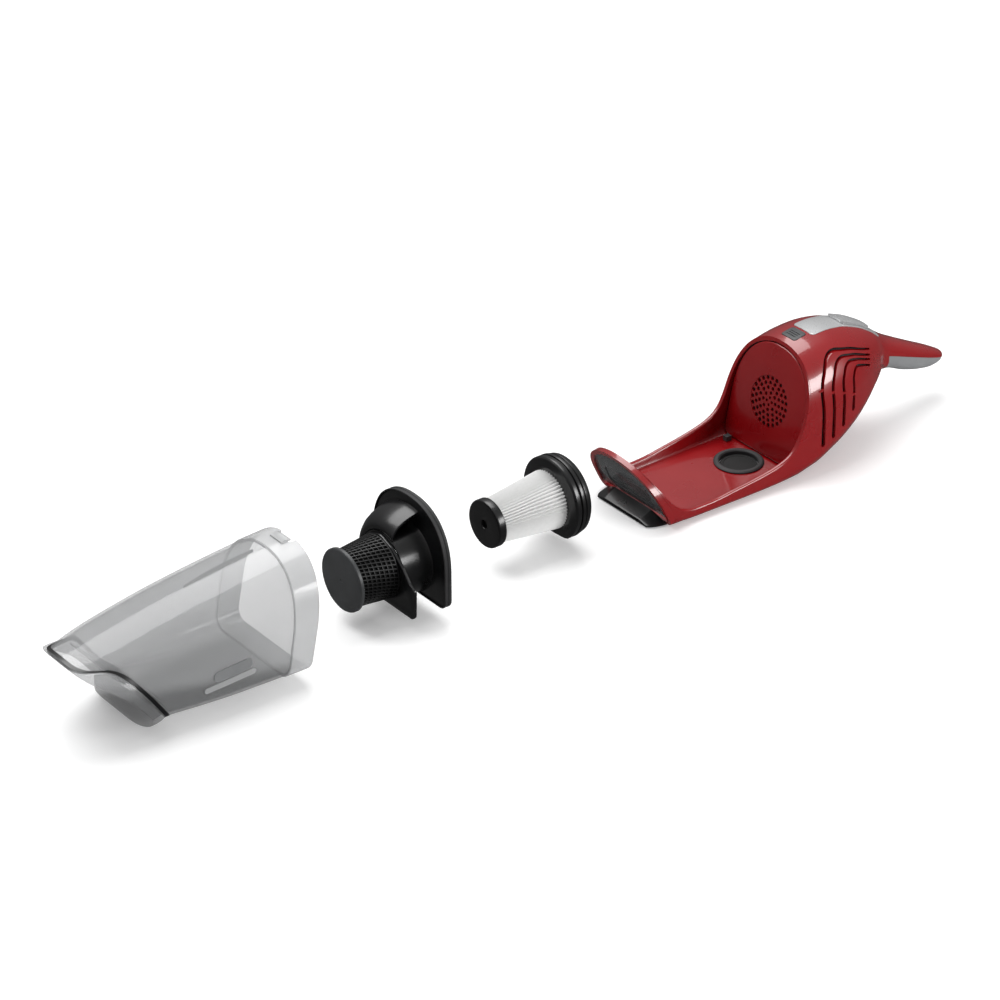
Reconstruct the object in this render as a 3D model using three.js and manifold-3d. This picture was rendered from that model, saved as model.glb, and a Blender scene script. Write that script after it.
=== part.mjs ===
// Handheld vacuum, laid out in a line: dust cup, pre-filter, filter, body.
// Millimetres, +X towards the handle, +Z up, -Y is the near side, Z = 0 is the floor.
// Everything is symmetric about the plane y = 0.
import * as THREE from 'three';
import * as BufferGeometryUtils from 'three/addons/utils/BufferGeometryUtils.js';
import Module from 'manifold-3d';

const wasm = await Module();
wasm.setup();

// ---------------------------------------------------------------- driving dimensions
const GAP = 0.3; // clearance between pieces that touch
const WALL = 2.4; // moulded wall thickness
const AXIS_Z = 43; // height of the common axis of filter and pre-filter

const FLOOR_TOP = 3.5; // tray floor, top face
const FLOOR_BOTTOM = 0.5; // tray floor, underside
const TRAY_START = 15; // front end of the tray floor
const BULKHEAD_X = 157; // bulkhead front face at z = 0
const BULKHEAD_LEAN = 0.2; // bulkhead leans back: dx per dz
const BULKHEAD_THICK = 3;
const GRILLE_R = 23.7;
const GRILLE_Z = 54;
const PORT_X = 134; // round port in the tray floor
const PORT_R = 17.5;

const PROW_LEAN = -0.5; // the front arch leans forward: dx per dz
const PROW_TOP = 60.5; // crown of the front arch
const PROW_HALF = 49;
const PROW_THICK = 6;

const CUP_REAR_X = -375; // rear rim of the cup at z = CUP_BASE
const CUP_BASE = 8;
const CUP_WALL = 2.2;
const COLLAR_LENGTH = 22;

const CYCLONE_FRONT = -305; // front face of the round cap
const CYCLONE_PLATE = -234; // front face of the rear plate
const FILTER_FRONT = -155; // front face of the filter's end cap
const FILTER_RING = -85; // front face of the filter's ring

// ---------------------------------------------------------------- solids
function solid(geometry) {
  const bare = geometry.index ? geometry.clone() : BufferGeometryUtils.mergeVertices(geometry);
  bare.deleteAttribute('normal');
  bare.deleteAttribute('uv');
  const merged = BufferGeometryUtils.mergeVertices(bare, 1e-4);
  return new wasm.Manifold(new wasm.Mesh({
    numProp: 3,
    vertProperties: new Float32Array(merged.attributes.position.array),
    triVerts: new Uint32Array(merged.index.array),
  }));
}

function geometryOf(manifold) {
  const mesh = manifold.getMesh();
  const geometry = new THREE.BufferGeometry();
  geometry.setAttribute('position', new THREE.BufferAttribute(new Float32Array(mesh.vertProperties), 3));
  geometry.setIndex(new THREE.BufferAttribute(new Uint32Array(mesh.triVerts), 1));
  geometry.computeVertexNormals();
  return geometry;
}

// box from its lowest and highest corners
function box(low, high) {
  const size = high.map((value, i) => value - low[i]);
  const geometry = new THREE.BoxGeometry(...size);
  geometry.translate(...low.map((value, i) => value + size[i] / 2));
  return solid(geometry);
}

// cylinder between two points
function rod(start, end, radius, sides = 24, endRadius = radius) {
  const from = new THREE.Vector3(...start);
  const to = new THREE.Vector3(...end);
  const geometry = new THREE.CylinderGeometry(endRadius, radius, from.distanceTo(to), sides);
  const turn = new THREE.Quaternion().setFromUnitVectors(
    new THREE.Vector3(0, 1, 0), to.clone().sub(from).normalize());
  geometry.applyQuaternion(turn);
  geometry.translate(...from.add(to).multiplyScalar(0.5).toArray());
  return solid(geometry);
}

// body of revolution about a line along X; profile points are [x, radius]
function turned(profile, y = 0, z = AXIS_Z, sides = 36) {
  const points = profile.map(([x, radius]) => new THREE.Vector2(radius, -x));
  const geometry = new THREE.LatheGeometry(points, sides);
  geometry.rotateZ(Math.PI / 2);
  geometry.translate(0, y, z);
  return oriented(geometry);
}

// the library wants outward faces, so a profile drawn the other way round is turned over
function oriented(geometry) {
  const made = solid(geometry);
  if (made.volume() > 0) return made;
  const index = geometry.index.array;
  for (let i = 0; i < index.length; i += 3) [index[i], index[i + 1]] = [index[i + 1], index[i]];
  return solid(geometry);
}

// closed skin through rings of equal point counts, with flat ends
function loft(rings) {
  const count = rings[0].length;
  const positions = rings.flat().flatMap((p) => [p[0], p[1], p[2]]);
  const index = [];
  for (let r = 0; r + 1 < rings.length; r += 1) {
    for (let i = 0; i < count; i += 1) {
      const a = r * count + i;
      const b = r * count + ((i + 1) % count);
      index.push(a, b, a + count, b, b + count, a + count);
    }
  }
  for (const end of [0, rings.length - 1]) {
    const centre = positions.length / 3;
    const ring = rings[end];
    positions.push(...[0, 1, 2].map((k) => ring.reduce((sum, p) => sum + p[k], 0) / count));
    for (let i = 0; i < count; i += 1) {
      const a = end * count + i;
      const b = end * count + ((i + 1) % count);
      index.push(...(end === 0 ? [centre, b, a] : [centre, a, b]));
    }
  }
  const geometry = new THREE.BufferGeometry();
  geometry.setAttribute('position', new THREE.Float32BufferAttribute(positions, 3));
  geometry.setIndex(index);
  return oriented(geometry);
}

// arched outline in a plane that may lean: flat bottom with round corners, arched top
function arch({ x, lean = 0, half, bottom, top, shoulder = 0.42, corner = 9, power = 2.3 }, inset = 0) {
  const w = half - inset;
  const low = bottom + inset;
  const high = top - inset;
  const spring = low + (high - low) * shoulder;
  const r = Math.min(Math.max(corner - inset, 1), spring - low - 1);
  const points = [];
  const CORNER_STEPS = 4;
  const ARCH_STEPS = 18;
  for (let i = 0; i <= CORNER_STEPS; i += 1) {
    const t = -Math.PI / 2 + (Math.PI / 2) * (i / CORNER_STEPS);
    points.push([w - r + r * Math.cos(t), low + r + r * Math.sin(t)]);
  }
  for (let i = 0; i <= ARCH_STEPS; i += 1) {
    const t = Math.PI * (i / ARCH_STEPS);
    const c = Math.cos(t);
    points.push([
      w * Math.sign(c) * Math.abs(c) ** (2 / power),
      spring + (high - spring) * Math.sin(t) ** (2 / power),
    ]);
  }
  for (let i = 0; i <= CORNER_STEPS; i += 1) {
    const t = Math.PI + (Math.PI / 2) * (i / CORNER_STEPS);
    points.push([-w + r + r * Math.cos(t), low + r + r * Math.sin(t)]);
  }
  return points.map(([y, z]) => [x + lean * (z - CUP_BASE), y, z]);
}

const shifted = (section, dx) => ({ ...section, x: section.x + dx });

// shell through arched sections, open at both ends
function tube(sections, wall) {
  const outer = loft(sections.map((s) => arch(s)));
  const first = sections[0];
  const last = sections[sections.length - 1];
  const past = Math.sign(last.x - first.x) * 1;
  const inner = [shifted(first, -past), ...sections, shifted(last, past)];
  return outer.subtract(loft(inner.map((s) => arch(s, wall))));
}

// everything on one side of a plane, as a large block to cut with
function halfSpace(point, normal) {
  const SIZE = 600;
  const geometry = new THREE.BoxGeometry(SIZE, SIZE, SIZE);
  geometry.translate(0, 0, SIZE / 2);
  geometry.applyQuaternion(new THREE.Quaternion().setFromUnitVectors(
    new THREE.Vector3(0, 0, 1), new THREE.Vector3(...normal).normalize()));
  geometry.translate(...point);
  return solid(geometry);
}

// ---------------------------------------------------------------- materials and nodes
const PAINT = {
  red: { color: 0xa3121b, roughness: 0.22, metalness: 0.25 },
  black: { color: 0x17181a, roughness: 0.35, metalness: 0 },
  darkGrey: { color: 0x3b3e42, roughness: 0.45, metalness: 0 },
  midGrey: { color: 0x85888b, roughness: 0.4, metalness: 0.1 },
  silver: { color: 0xb9bcbf, roughness: 0.28, metalness: 0.55 },
  rubber: { color: 0x222324, roughness: 0.8, metalness: 0 },
  smoke: { color: 0x9a9da1, roughness: 0.08, metalness: 0 },
  clear: { color: 0xc8cacc, roughness: 0.12, metalness: 0 },
  paper: { color: 0xf1f1ee, roughness: 0.9, metalness: 0 },
  steel: { color: 0xb4b6b8, roughness: 0.3, metalness: 0.9 },
  board: { color: 0x1f5a34, roughness: 0.5, metalness: 0 },
  cell: { color: 0x2e6f9e, roughness: 0.4, metalness: 0 },
};

const vacuum = new THREE.Group();
const layout = new THREE.Group();
vacuum.add(layout);

function piece(name, manifold, paint) {
  const mesh = new THREE.Mesh(geometryOf(manifold), new THREE.MeshStandardMaterial(PAINT[paint]));
  mesh.name = name;
  layout.add(mesh);
}

// ---------------------------------------------------------------- body: tray and front arch
const bulkheadAt = (z) => BULKHEAD_X + BULKHEAD_LEAN * z;
const bulkheadPlane = (offset) => [BULKHEAD_X + offset, 0, 0];
const BULKHEAD_NORMAL = [1, 0, -BULKHEAD_LEAN];

const prowSection = (offset) => ({
  x: TRAY_START + 3 + offset,
  lean: PROW_LEAN,
  half: PROW_HALF,
  bottom: FLOOR_BOTTOM,
  top: PROW_TOP,
  shoulder: 0.3,
  corner: 5,
  power: 2.1,
});

const RIM_BAND = 6.5; // visible width of the front arch
const TRAY_WALL = 5;
const traySections = [
  { ...prowSection(-2), half: PROW_HALF - 0.1, top: PROW_TOP - 0.1, corner: 7 },
  { x: 45, lean: -0.18, half: 49.8, bottom: FLOOR_BOTTOM, top: 78, shoulder: 0.34, corner: 7, power: 2.2 },
  { x: 90, lean: 0.02, half: 51, bottom: FLOOR_BOTTOM, top: 94, shoulder: 0.38, corner: 8, power: 2.25 },
  { x: 130, lean: 0.14, half: 52, bottom: FLOOR_BOTTOM, top: 106, shoulder: 0.4, corner: 10, power: 2.25 },
  { x: 158.5, lean: BULKHEAD_LEAN, half: 53, bottom: FLOOR_BOTTOM, top: 111, shoulder: 0.42, corner: 12 },
];
// side view of the opening: down the back of the arch, along the rim, then up in front of the bulkhead
const RIM_LINE = [
  [-17, 79], [-8.1, 60.5], [0.2, 45], [5.5, 35.5], [12, 26], [20, 18], [30, 12], [42, 9], [60, 9.6], [85, 12.2],
  [113, 15.6], [133, 19.4], [145, 24], [153, 31], [159, 42], [164, 56], [169.5, 72], [174, 88], [177, 100],
  [179.5, 112], [179.5, 150], [-60, 150],
];

// a side view (x, z) made into a block across the whole width
function sideCut(points, half = 80) {
  const shape = new THREE.Shape(points.map(([x, z]) => new THREE.Vector2(x, z)));
  const geometry = new THREE.ExtrudeGeometry(shape, { depth: 2 * half, bevelEnabled: false });
  geometry.rotateX(Math.PI / 2);
  geometry.translate(0, half, 0);
  return solid(geometry);
}

function trayShell() {
  const inner = traySections.map((s) => arch({
    ...s, half: s.half - TRAY_WALL, bottom: FLOOR_TOP, top: s.top - TRAY_WALL, corner: s.corner - 3 }));
  const ahead = arch(shifted({ ...traySections[0], half: 44, bottom: FLOOR_TOP, corner: 4 }, -1));
  const behind = arch(shifted({ ...traySections[4], half: 48, bottom: FLOOR_TOP, top: 106 }, 4));
  const tub = loft(traySections.map((s) => arch(s)))
    .subtract(loft([ahead, ...inner, behind]))
    .subtract(sideCut(RIM_LINE));
  const band = loft([-PROW_THICK, 0].map((d) => arch(prowSection(d))));
  const opening = loft([-PROW_THICK - 1, 1].map((d) => arch(prowSection(d), RIM_BAND)));
  return tub
    .add(band.subtract(opening))
    .subtract(halfSpace(bulkheadPlane(-GAP), BULKHEAD_NORMAL))
    .subtract(rod([PORT_X, 0, -5], [PORT_X, 0, 20], PORT_R + 2.6, 40));
}

function prowPanel() {
  const panel = loft([-4.5, -2].map((d) => arch(prowSection(d), RIM_BAND + GAP)));
  const passage = box([-20, -30, 16], [40, 30, 34]);
  return panel.subtract(passage);
}

function nozzleBlade() {
  const BEVEL = 17; // the sides slope inwards by this much from the bottom to the top
  const wedge = loft([[-2, 41, 3.4], [24, 43, 14]].map(([x, half, high]) => {
    const back = x > 0 ? -PROW_LEAN * high : 0;
    return [[x, half, 0], [x - back, half - BEVEL, high], [x - back, -half + BEVEL, high], [x, -half, 0]];
  }));
  const SLOT_LOW = 1;
  return wedge
    .subtract(box([-10, -23, SLOT_LOW], [16, 23, 2.4]))
    .subtract(halfSpace([TRAY_START + 3 - PROW_THICK - GAP, 0, CUP_BASE], [1, 0, -PROW_LEAN]));
}

function portRing() {
  const LIP = 1.5;
  return rod([PORT_X, 0, FLOOR_TOP + GAP], [PORT_X, 0, FLOOR_TOP + GAP + LIP], PORT_R + 5, 40)
    .add(rod([PORT_X, 0, FLOOR_BOTTOM], [PORT_X, 0, FLOOR_TOP + 1], PORT_R + 2.3, 40))
    .subtract(rod([PORT_X, 0, -5], [PORT_X, 0, 20], PORT_R, 40));
}

function portPlug() {
  return rod([PORT_X, 0, FLOOR_BOTTOM], [PORT_X, 0, FLOOR_BOTTOM + 1.2], PORT_R - GAP, 40);
}

function foot(side) {
  return rod([164, side * 38, -1], [164, side * 38, FLOOR_BOTTOM + 0.6], 5, 20);
}

function trayCatch(side) {
  return box([149, side * 36.5 - 2.5, FLOOR_TOP + GAP], [155, side * 36.5 + 2.5, FLOOR_TOP + 5]);
}

piece('tray_moulding', trayShell(), 'red');
piece('front_panel', prowPanel(), 'darkGrey');
piece('nozzle_blade', nozzleBlade(), 'black');
piece('port_ring', portRing(), 'rubber');
piece('port_plug', portPlug(), 'darkGrey');
for (const [side, word] of [[-1, 'near'], [1, 'far']]) {
  piece(`catch_${word}`, trayCatch(side), 'darkGrey');
}

// ---------------------------------------------------------------- body: bulkhead and grille
const bulkheadSection = (offset) => ({
  x: BULKHEAD_X + offset + BULKHEAD_LEAN * CUP_BASE,
  lean: BULKHEAD_LEAN,
  half: 49.5,
  bottom: 2,
  top: 107,
  shoulder: 0.4,
  corner: 10,
  power: 2.25,
});

function grilleAxis(offset) {
  const tilt = Math.atan(BULKHEAD_LEAN);
  const x = bulkheadAt(GRILLE_Z) + offset * Math.cos(tilt);
  return [x, 0, GRILLE_Z - offset * Math.sin(tilt)];
}

function bulkhead() {
  return loft([0, BULKHEAD_THICK].map((d) => arch(bulkheadSection(d))))
    .subtract(rod(grilleAxis(-6), grilleAxis(10), GRILLE_R + GAP, 48));
}

function grille() {
  const HOLE_R = 1.7;
  const HOLE_SIDES = 6;
  const rings = [[3, 3], [8.5, 8], [14, 14], [19.8, 20]]; // radius and number of holes
  let disc = rod(grilleAxis(0.4), grilleAxis(2.6), GRILLE_R, 40);
  const tilt = Math.atan(BULKHEAD_LEAN);
  for (const [radius, count] of rings) {
    for (let i = 0; i < count; i += 1) {
      const turn = (i / count) * Math.PI * 2;
      const y = radius * Math.cos(turn);
      const up = radius * Math.sin(turn);
      const move = ([px, py, pz]) => [px + up * Math.sin(tilt), py + y, pz + up * Math.cos(tilt)];
      disc = disc.subtract(rod(move(grilleAxis(-2)), move(grilleAxis(5)), HOLE_R, HOLE_SIDES));
    }
  }
  return disc;
}

piece('bulkhead', bulkhead(), 'red');
piece('grille', grille(), 'red');

// ---------------------------------------------------------------- body: rear housing and handle
const housingSections = [
  { x: 158.5, lean: BULKHEAD_LEAN, half: 53, bottom: FLOOR_BOTTOM, top: 111, shoulder: 0.42, corner: 12 },
  { x: 181, lean: 0.16, half: 54, bottom: 1, top: 114.5, shoulder: 0.44, corner: 20 },
  { x: 205, lean: 0.12, half: 52, bottom: 6, top: 116, shoulder: 0.46, corner: 26 },
  { x: 231, lean: 0.06, half: 46.5, bottom: 14, top: 114, shoulder: 0.5, corner: 28 },
  { x: 256, lean: 0, half: 38, bottom: 26, top: 108, shoulder: 0.5, corner: 26 },
  { x: 277, lean: 0, half: 28, bottom: 41, top: 98.5, shoulder: 0.5, corner: 20 },
  { x: 292, lean: 0, half: 20, bottom: 52, top: 88.5, shoulder: 0.5, corner: 15 },
];
const handleSections = [
  { x: 292 + GAP, lean: 0, half: 20, bottom: 52, top: 88.5, shoulder: 0.5, corner: 15 },
  { x: 306, half: 17.5, bottom: 46, top: 79, shoulder: 0.5, corner: 13 },
  { x: 325, half: 16.5, bottom: 37, top: 68, shoulder: 0.5, corner: 12 },
  { x: 345, half: 15, bottom: 31, top: 57, shoulder: 0.5, corner: 10 },
  { x: 362, half: 12.5, bottom: 28.5, top: 48, shoulder: 0.5, corner: 8 },
  { x: 374, half: 9, bottom: 29, top: 41.5, shoulder: 0.5, corner: 5 },
  { x: 380, half: 4.5, bottom: 31.5, top: 37.5, shoulder: 0.5, corner: 2.5, power: 2 },
];
const HANDLE_SPLIT = { point: [299, 0, 64.5], normal: [31.5, 0, 81] };

function cavity(sections, wall, openEnd) {
  const inner = sections.map((s) => arch(s, wall));
  if (openEnd) inner.unshift(arch(shifted(sections[0], -2), wall));
  return loft(inner);
}

// nested elbow slots: an upright leg, then a leg that falls towards the handle; one bridge across each upright
const VENTS = [
  { line: [[186, 27], [185, 80], [203, 107], [258, 90.5]], bridge: 78.5 },
  { line: [[199, 31], [197.5, 78], [210, 101], [256, 86.5]], bridge: 73.5 },
  { line: [[212.3, 38], [211, 79], [219.5, 95.3], [255, 83]], bridge: 68.5 },
  { line: [[226.3, 48], [225.3, 78], [229.5, 87.5], [253.5, 78.5]], bridge: 61.5 },
];
const VENT_WIDTH = 3.4;
const VENT_WIDTH_TOP = 2.4;
const BRIDGE = 2.2;

// outline of a slot along a bent line, wide at its foot and narrow at its end
function slotOutline(line) {
  const path = new THREE.Path();
  path.moveTo(...line[0]);
  path.lineTo(...line[1]);
  const towards = (a, b, t) => [a[0] + (b[0] - a[0]) * t, a[1] + (b[1] - a[1]) * t];
  path.quadraticCurveTo(...towards(line[1], line[2], 0.2), ...towards(line[1], line[2], 0.45));
  path.quadraticCurveTo(...towards(line[1], line[2], 0.95), ...towards(line[2], line[3], 0.28));
  path.lineTo(...line[3]);
  const centre = path.getPoints(4);
  const left = [];
  const right = [];
  centre.forEach((here, i) => {
    const before = centre[Math.max(i - 1, 0)];
    const after = centre[Math.min(i + 1, centre.length - 1)];
    const across = after.clone().sub(before).normalize().rotateAround(new THREE.Vector2(), Math.PI / 2);
    const half = (VENT_WIDTH + (VENT_WIDTH_TOP - VENT_WIDTH) * (i / centre.length)) / 2;
    left.push([here.x + across.x * half, here.y + across.y * half]);
    right.unshift([here.x - across.x * half, here.y - across.y * half]);
  });
  return [...left, ...right];
}

function ventCutters() {
  return VENTS.map(({ line, bridge }) => {
    const x = line[0][0];
    return sideCut(slotOutline(line), 70).subtract(box([x - 8, -80, bridge], [x + 8, 80, bridge + BRIDGE]));
  });
}

const BUTTON = { low: [187, -9, 104], high: [201.5, 9, 118] };
const PANEL = { start: 205, end: 289, half: 13 };

function panelBlock(grow) {
  const { start, end, half } = PANEL;
  return box([start - grow, -half - grow, 70], [end + grow, half + grow, 130]);
}

function buttonBlock(grow) {
  return box(
    BUTTON.low.map((v, i) => v - (i < 2 ? grow : 20)),
    BUTTON.high.map((v, i) => v + (i < 2 ? grow : 20)));
}

const housingSkin = () => loft(housingSections.map((s) => arch(s)));

function rearHousing() {
  let shell = housingSkin().subtract(loft([
    arch(shifted(housingSections[0], -2), WALL),
    ...housingSections.slice(0, -1).map((s) => arch(s, WALL)),
    arch(shifted(housingSections[6], -3), WALL),
  ]));
  const seat = loft([-8, BULKHEAD_THICK + 0.6].map((d) => arch(
    { ...bulkheadSection(d), half: 49.5 + GAP, bottom: 2 - GAP, top: 107 + GAP })));
  shell = shell.subtract(seat);
  for (const cutter of ventCutters()) {
    const CLEAR_OF_TOP = 16;
    shell = shell.subtract(cutter.subtract(box([150, -CLEAR_OF_TOP, 0], [300, CLEAR_OF_TOP, 130])));
  }
  const SOCKET_R = 4.2;
  return shell
    .subtract(panelBlock(GAP))
    .subtract(buttonBlock(GAP))
    .subtract(rod([285, 0, 56], [310, 0, 56], SOCKET_R, 24));
}

function housingHalf(side) {
  return rearHousing().intersect(halfSpace([0, side * GAP / 2, 0], [0, side, 0]));
}

for (const [side, word] of [[-1, 'near'], [1, 'far']]) {
  piece(`housing_${word}`, housingHalf(side), 'red');
  piece(`foot_${word}`, foot(side).subtract(housingSkin().add(trayShell())), 'rubber');
}

function topPanel() {
  const skin = housingSkin().intersect(panelBlock(0));
  const under = loft(housingSections.map((s) => arch(s, WALL)));
  const SLIDER_SLOT = box([251.5, -5, 80], [269, 5, 130]);
  return skin.subtract(under).subtract(SLIDER_SLOT);
}

function handleHalf(upper) {
  const skin = loft(handleSections.map((s) => arch(s)));
  const hollow = loft(handleSections.slice(0, -2).map((s, i) => arch(shifted(s, i === 0 ? 3 : 0), WALL)));
  const { point, normal } = HANDLE_SPLIT;
  const outward = upper ? normal : normal.map((v) => -v);
  const offset = upper ? GAP / 2 : -GAP / 2;
  return skin.subtract(hollow).intersect(halfSpace([point[0], 0, point[2] + offset], outward));
}

piece('top_panel', topPanel(), 'silver');
piece('handle_cover', handleHalf(true), 'red');
piece('handle_grip', handleHalf(false), 'midGrey');

// ---------------------------------------------------------------- controls
function releaseButton() {
  const cap = housingSkin()
    .intersect(buttonBlock(0))
    .subtract(box([180, -20, 60], [230, 20, 107]));
  const stem = box([196, -3, 101], [200.5, 3, 107]);
  const hook = box([183, -3, 101], [199, 3, 103.2]);
  return cap.add(stem).add(hook);
}

const SPRING_X = 195;
const SPRING_LOW = 93.8;
const SPRING_HIGH = 100;

class Helix extends THREE.Curve {
  getPoint(t) {
    const TURNS = 4;
    const RADIUS = 2.2;
    const turn = t * TURNS * Math.PI * 2;
    const z = SPRING_LOW + (SPRING_HIGH - SPRING_LOW) * t;
    return new THREE.Vector3(SPRING_X + RADIUS * Math.cos(turn), RADIUS * Math.sin(turn), z);
  }
}

function buttonSpring() {
  const section = new THREE.Shape(new THREE.EllipseCurve(0, 0, 0.4, 0.4, 0, Math.PI * 2).getPoints(5));
  return oriented(new THREE.ExtrudeGeometry(section, { steps: 40, extrudePath: new Helix() }));
}

function springShelf() {
  return box([188, -28, 91], [201.5, 28, 93]);
}

const SLIDER = { start: 243.5, end: 277.5, half: 10.5, rise: 2.6, neck: [252, 264] };

function powerSlider() {
  const { start, end, half, rise, neck } = SLIDER;
  const lifted = (by) => loft(housingSections.map((s) => arch({ ...s, top: s.top + by })));
  const pad = lifted(rise).subtract(lifted(0.5)).intersect(box([start, -half, 90], [end, half, 130]));
  const stem = lifted(1)
    .subtract(loft(housingSections.map((s) => arch(s, WALL + 1.5))))
    .intersect(box([neck[0], -4.6, 80], [neck[1], 4.6, 130]));
  return pad.add(stem);
}

piece('release_button', releaseButton(), 'darkGrey');
piece('button_spring', buttonSpring(), 'steel');
piece('spring_shelf', springShelf(), 'darkGrey');
piece('power_slider', powerSlider(), 'silver');

// ---------------------------------------------------------------- inside the body
const MOTOR_Z = 54;

function fanHousing() {
  return turned([[184, 12], [184, 28], [201, 28], [201, 8], [199.5, 8], [199.5, 26.4], [185.6, 26.4],
    [185.6, 12], [184, 12]], 0, MOTOR_Z);
}

function impeller() {
  const BLADES = 7;
  let wheel = rod([196, 0, MOTOR_Z], [197.2, 0, MOTOR_Z], 24, 40)
    .add(rod([188, 0, MOTOR_Z], [197, 0, MOTOR_Z], 5, 20))
    .add(rod([197, 0, MOTOR_Z], [240, 0, MOTOR_Z], 1.6, 12));
  for (let i = 0; i < BLADES; i += 1) {
    const blade = new THREE.BoxGeometry(9, 19, 1);
    blade.translate(191.8, 13.8, 0);
    blade.rotateX((i / BLADES) * Math.PI * 2);
    blade.translate(0, 0, MOTOR_Z);
    wheel = wheel.add(solid(blade));
  }
  return wheel;
}

function motorCan() {
  return turned([[201.3, 2], [201.3, 17], [238, 17], [238, 2], [236, 2], [236, 15.6], [203, 15.6],
    [203, 2], [201.3, 2]], 0, MOTOR_Z);
}

function motorMount() {
  return box([211, -46, 38], [217, 46, 75])
    .subtract(rod([205, 0, MOTOR_Z], [232, 0, MOTOR_Z], 17 + GAP, 36));
}

const CELLS = [[212, 87], [231, 85.5], [250, 78], [210.5, 26], [229, 27.3]]; // x and z of each centre
const CELL_R = 9;
const CELL_HALF = 25;

function batteryTray() {
  let tray = box([204, -27, 76], [222, 27, 84]);
  for (const [x, z] of CELLS.slice(0, 3)) {
    tray = tray.subtract(rod([x, -40, z], [x, 40, z], CELL_R + GAP, 24));
  }
  return tray;
}

piece('fan_housing', fanHousing(), 'darkGrey');
piece('impeller', impeller(), 'midGrey');
piece('motor_can', motorCan(), 'steel');
piece('motor_mount', motorMount(), 'darkGrey');
piece('battery_cradle', batteryTray(), 'darkGrey');
CELLS.forEach(([x, z], i) => {
  piece(`battery_cell_${i + 1}`, rod([x, -CELL_HALF, z], [x, CELL_HALF, z], CELL_R, 20), 'cell');
});
piece('control_board', box([266, -14, 60], [268, 14, 86]), 'board');
piece('charging_socket', turned(
  [[280, 1.6], [280, 3.9], [291.6, 3.9], [291.6, 1.6], [280, 1.6]], 0, 56, 24), 'black');

// ---------------------------------------------------------------- dust cup
const collarSections = [
  { x: CUP_REAR_X, lean: BULKHEAD_LEAN, half: 54, bottom: 8, top: 106, shoulder: 0.38, corner: 12 },
  { x: CUP_REAR_X - COLLAR_LENGTH, lean: 0.17, half: 53.6, bottom: 8, top: 105, shoulder: 0.38, corner: 12 },
];
// stages of the cup's body; part is the share of the way from the collar to the mouth
const cupStages = [
  { part: 0, half: 53.6, bottom: 8, top: 105, shoulder: 0.38, corner: 12 },
  { part: 0.2, half: 53, bottom: 8.4, top: 101.2, shoulder: 0.375, corner: 12 },
  { part: 0.45, half: 51.8, bottom: 9.1, top: 95.3, shoulder: 0.36, corner: 11 },
  { part: 0.72, half: 49.7, bottom: 10.4, top: 86.2, shoulder: 0.34, corner: 10 },
  { part: 0.9, half: 48, bottom: 11.5, top: 79.2, shoulder: 0.33, corner: 9.5 },
  { part: 1, half: 47, bottom: 12.2, top: 75.5, shoulder: 0.32, corner: 9 },
];
// the mouth's edge seen from the side, as [z, x]: it slopes forward, then runs out into the nose
const MOUTH_LINE = [
  [8, -503], [17, -509], [36, -521.5], [52, -533], [60, -539.5], [65.6, -547], [68, -554], [69.5, -563],
  [71.5, -571], [74, -576], [78, -579],
];
const LIP = { half: 46, bottom: 7.5, top: 77.5, shoulder: 0.32, corner: 9 };
const LIP_FRONT = -530;
const LIP_SLOPE = -0.75;
const LIP_ROUND = 14; // how far the lip's corners stand back from its middle
const SEAL_DEPTH = 2;
const PAST = 14; // how far a cutter runs on past a bent edge

function lineAt(points, z) {
  const i = Math.max(points.findIndex((p) => p[0] >= z), 1);
  const [z0, x0] = points[i - 1];
  const [z1, x1] = points[i];
  return x0 + ((x1 - x0) * (Math.min(z, z1) - z0)) / (z1 - z0);
}

const mouthX = (z) => lineAt(MOUTH_LINE, Math.min(z, 78));

// a ring whose x comes from its outer face, so that inner and outer faces end together
function ringOf(section, inset, place) {
  const outer = arch({ ...section, x: 0 });
  return arch({ ...section, x: 0 }, inset).map(([, y, z], i) => [place(outer[i][1], outer[i][2]), y, z]);
}

function cupRing(stage, inset = 0, shift = 0) {
  return ringOf(stage, inset, (y, z) => {
    const rear = CUP_REAR_X - COLLAR_LENGTH - GAP + 0.17 * (z - CUP_BASE);
    return rear + (mouthX(z) - rear) * stage.part + shift;
  });
}

function lipRing(inset = 0, shift = 0) {
  return ringOf(LIP, inset, (y, z) => (
    LIP_FRONT + LIP_SLOPE * (z - CUP_BASE) + LIP_ROUND * (Math.abs(y) / LIP.half) ** 6 + shift));
}

const mouthStage = cupStages[cupStages.length - 1];

function cupShell() {
  const outer = loft(cupStages.map((s) => cupRing(s)));
  const inner = loft([
    cupRing(cupStages[0], CUP_WALL, 2),
    ...cupStages.map((s) => cupRing(s, CUP_WALL)),
    cupRing(mouthStage, CUP_WALL, -PAST),
  ]);
  return outer.subtract(inner);
}

function cupCollar() {
  const GROW = 0.8;
  const grown = collarSections.map((s) => (
    { ...s, half: s.half + GROW, bottom: s.bottom - GROW, top: s.top + GROW }));
  const NOTCH_HALF = 9;
  const notch = box([-362, -NOTCH_HALF, 98], [CUP_REAR_X + 60, NOTCH_HALF, 120]);
  return tube(grown, CUP_WALL + GROW).subtract(notch);
}

function mouthSeal() {
  const inset = CUP_WALL + 0.6;
  return loft([-GAP, -SEAL_DEPTH].map((d) => cupRing(mouthStage, 0, d)))
    .subtract(loft([PAST, -PAST].map((d) => cupRing(mouthStage, inset, d))));
}

function mouthFrame() {
  const wall = CUP_WALL + 1.2;
  return loft([cupRing(mouthStage, 0, -SEAL_DEPTH - GAP), lipRing()])
    .subtract(loft([
      cupRing(mouthStage, wall, PAST), cupRing(mouthStage, wall, -SEAL_DEPTH - GAP),
      lipRing(wall), lipRing(wall, -PAST)]));
}

const FLAP_TOP = 58;
const flapX = (z) => -494 - 1.05 * (z - CUP_BASE);

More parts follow.
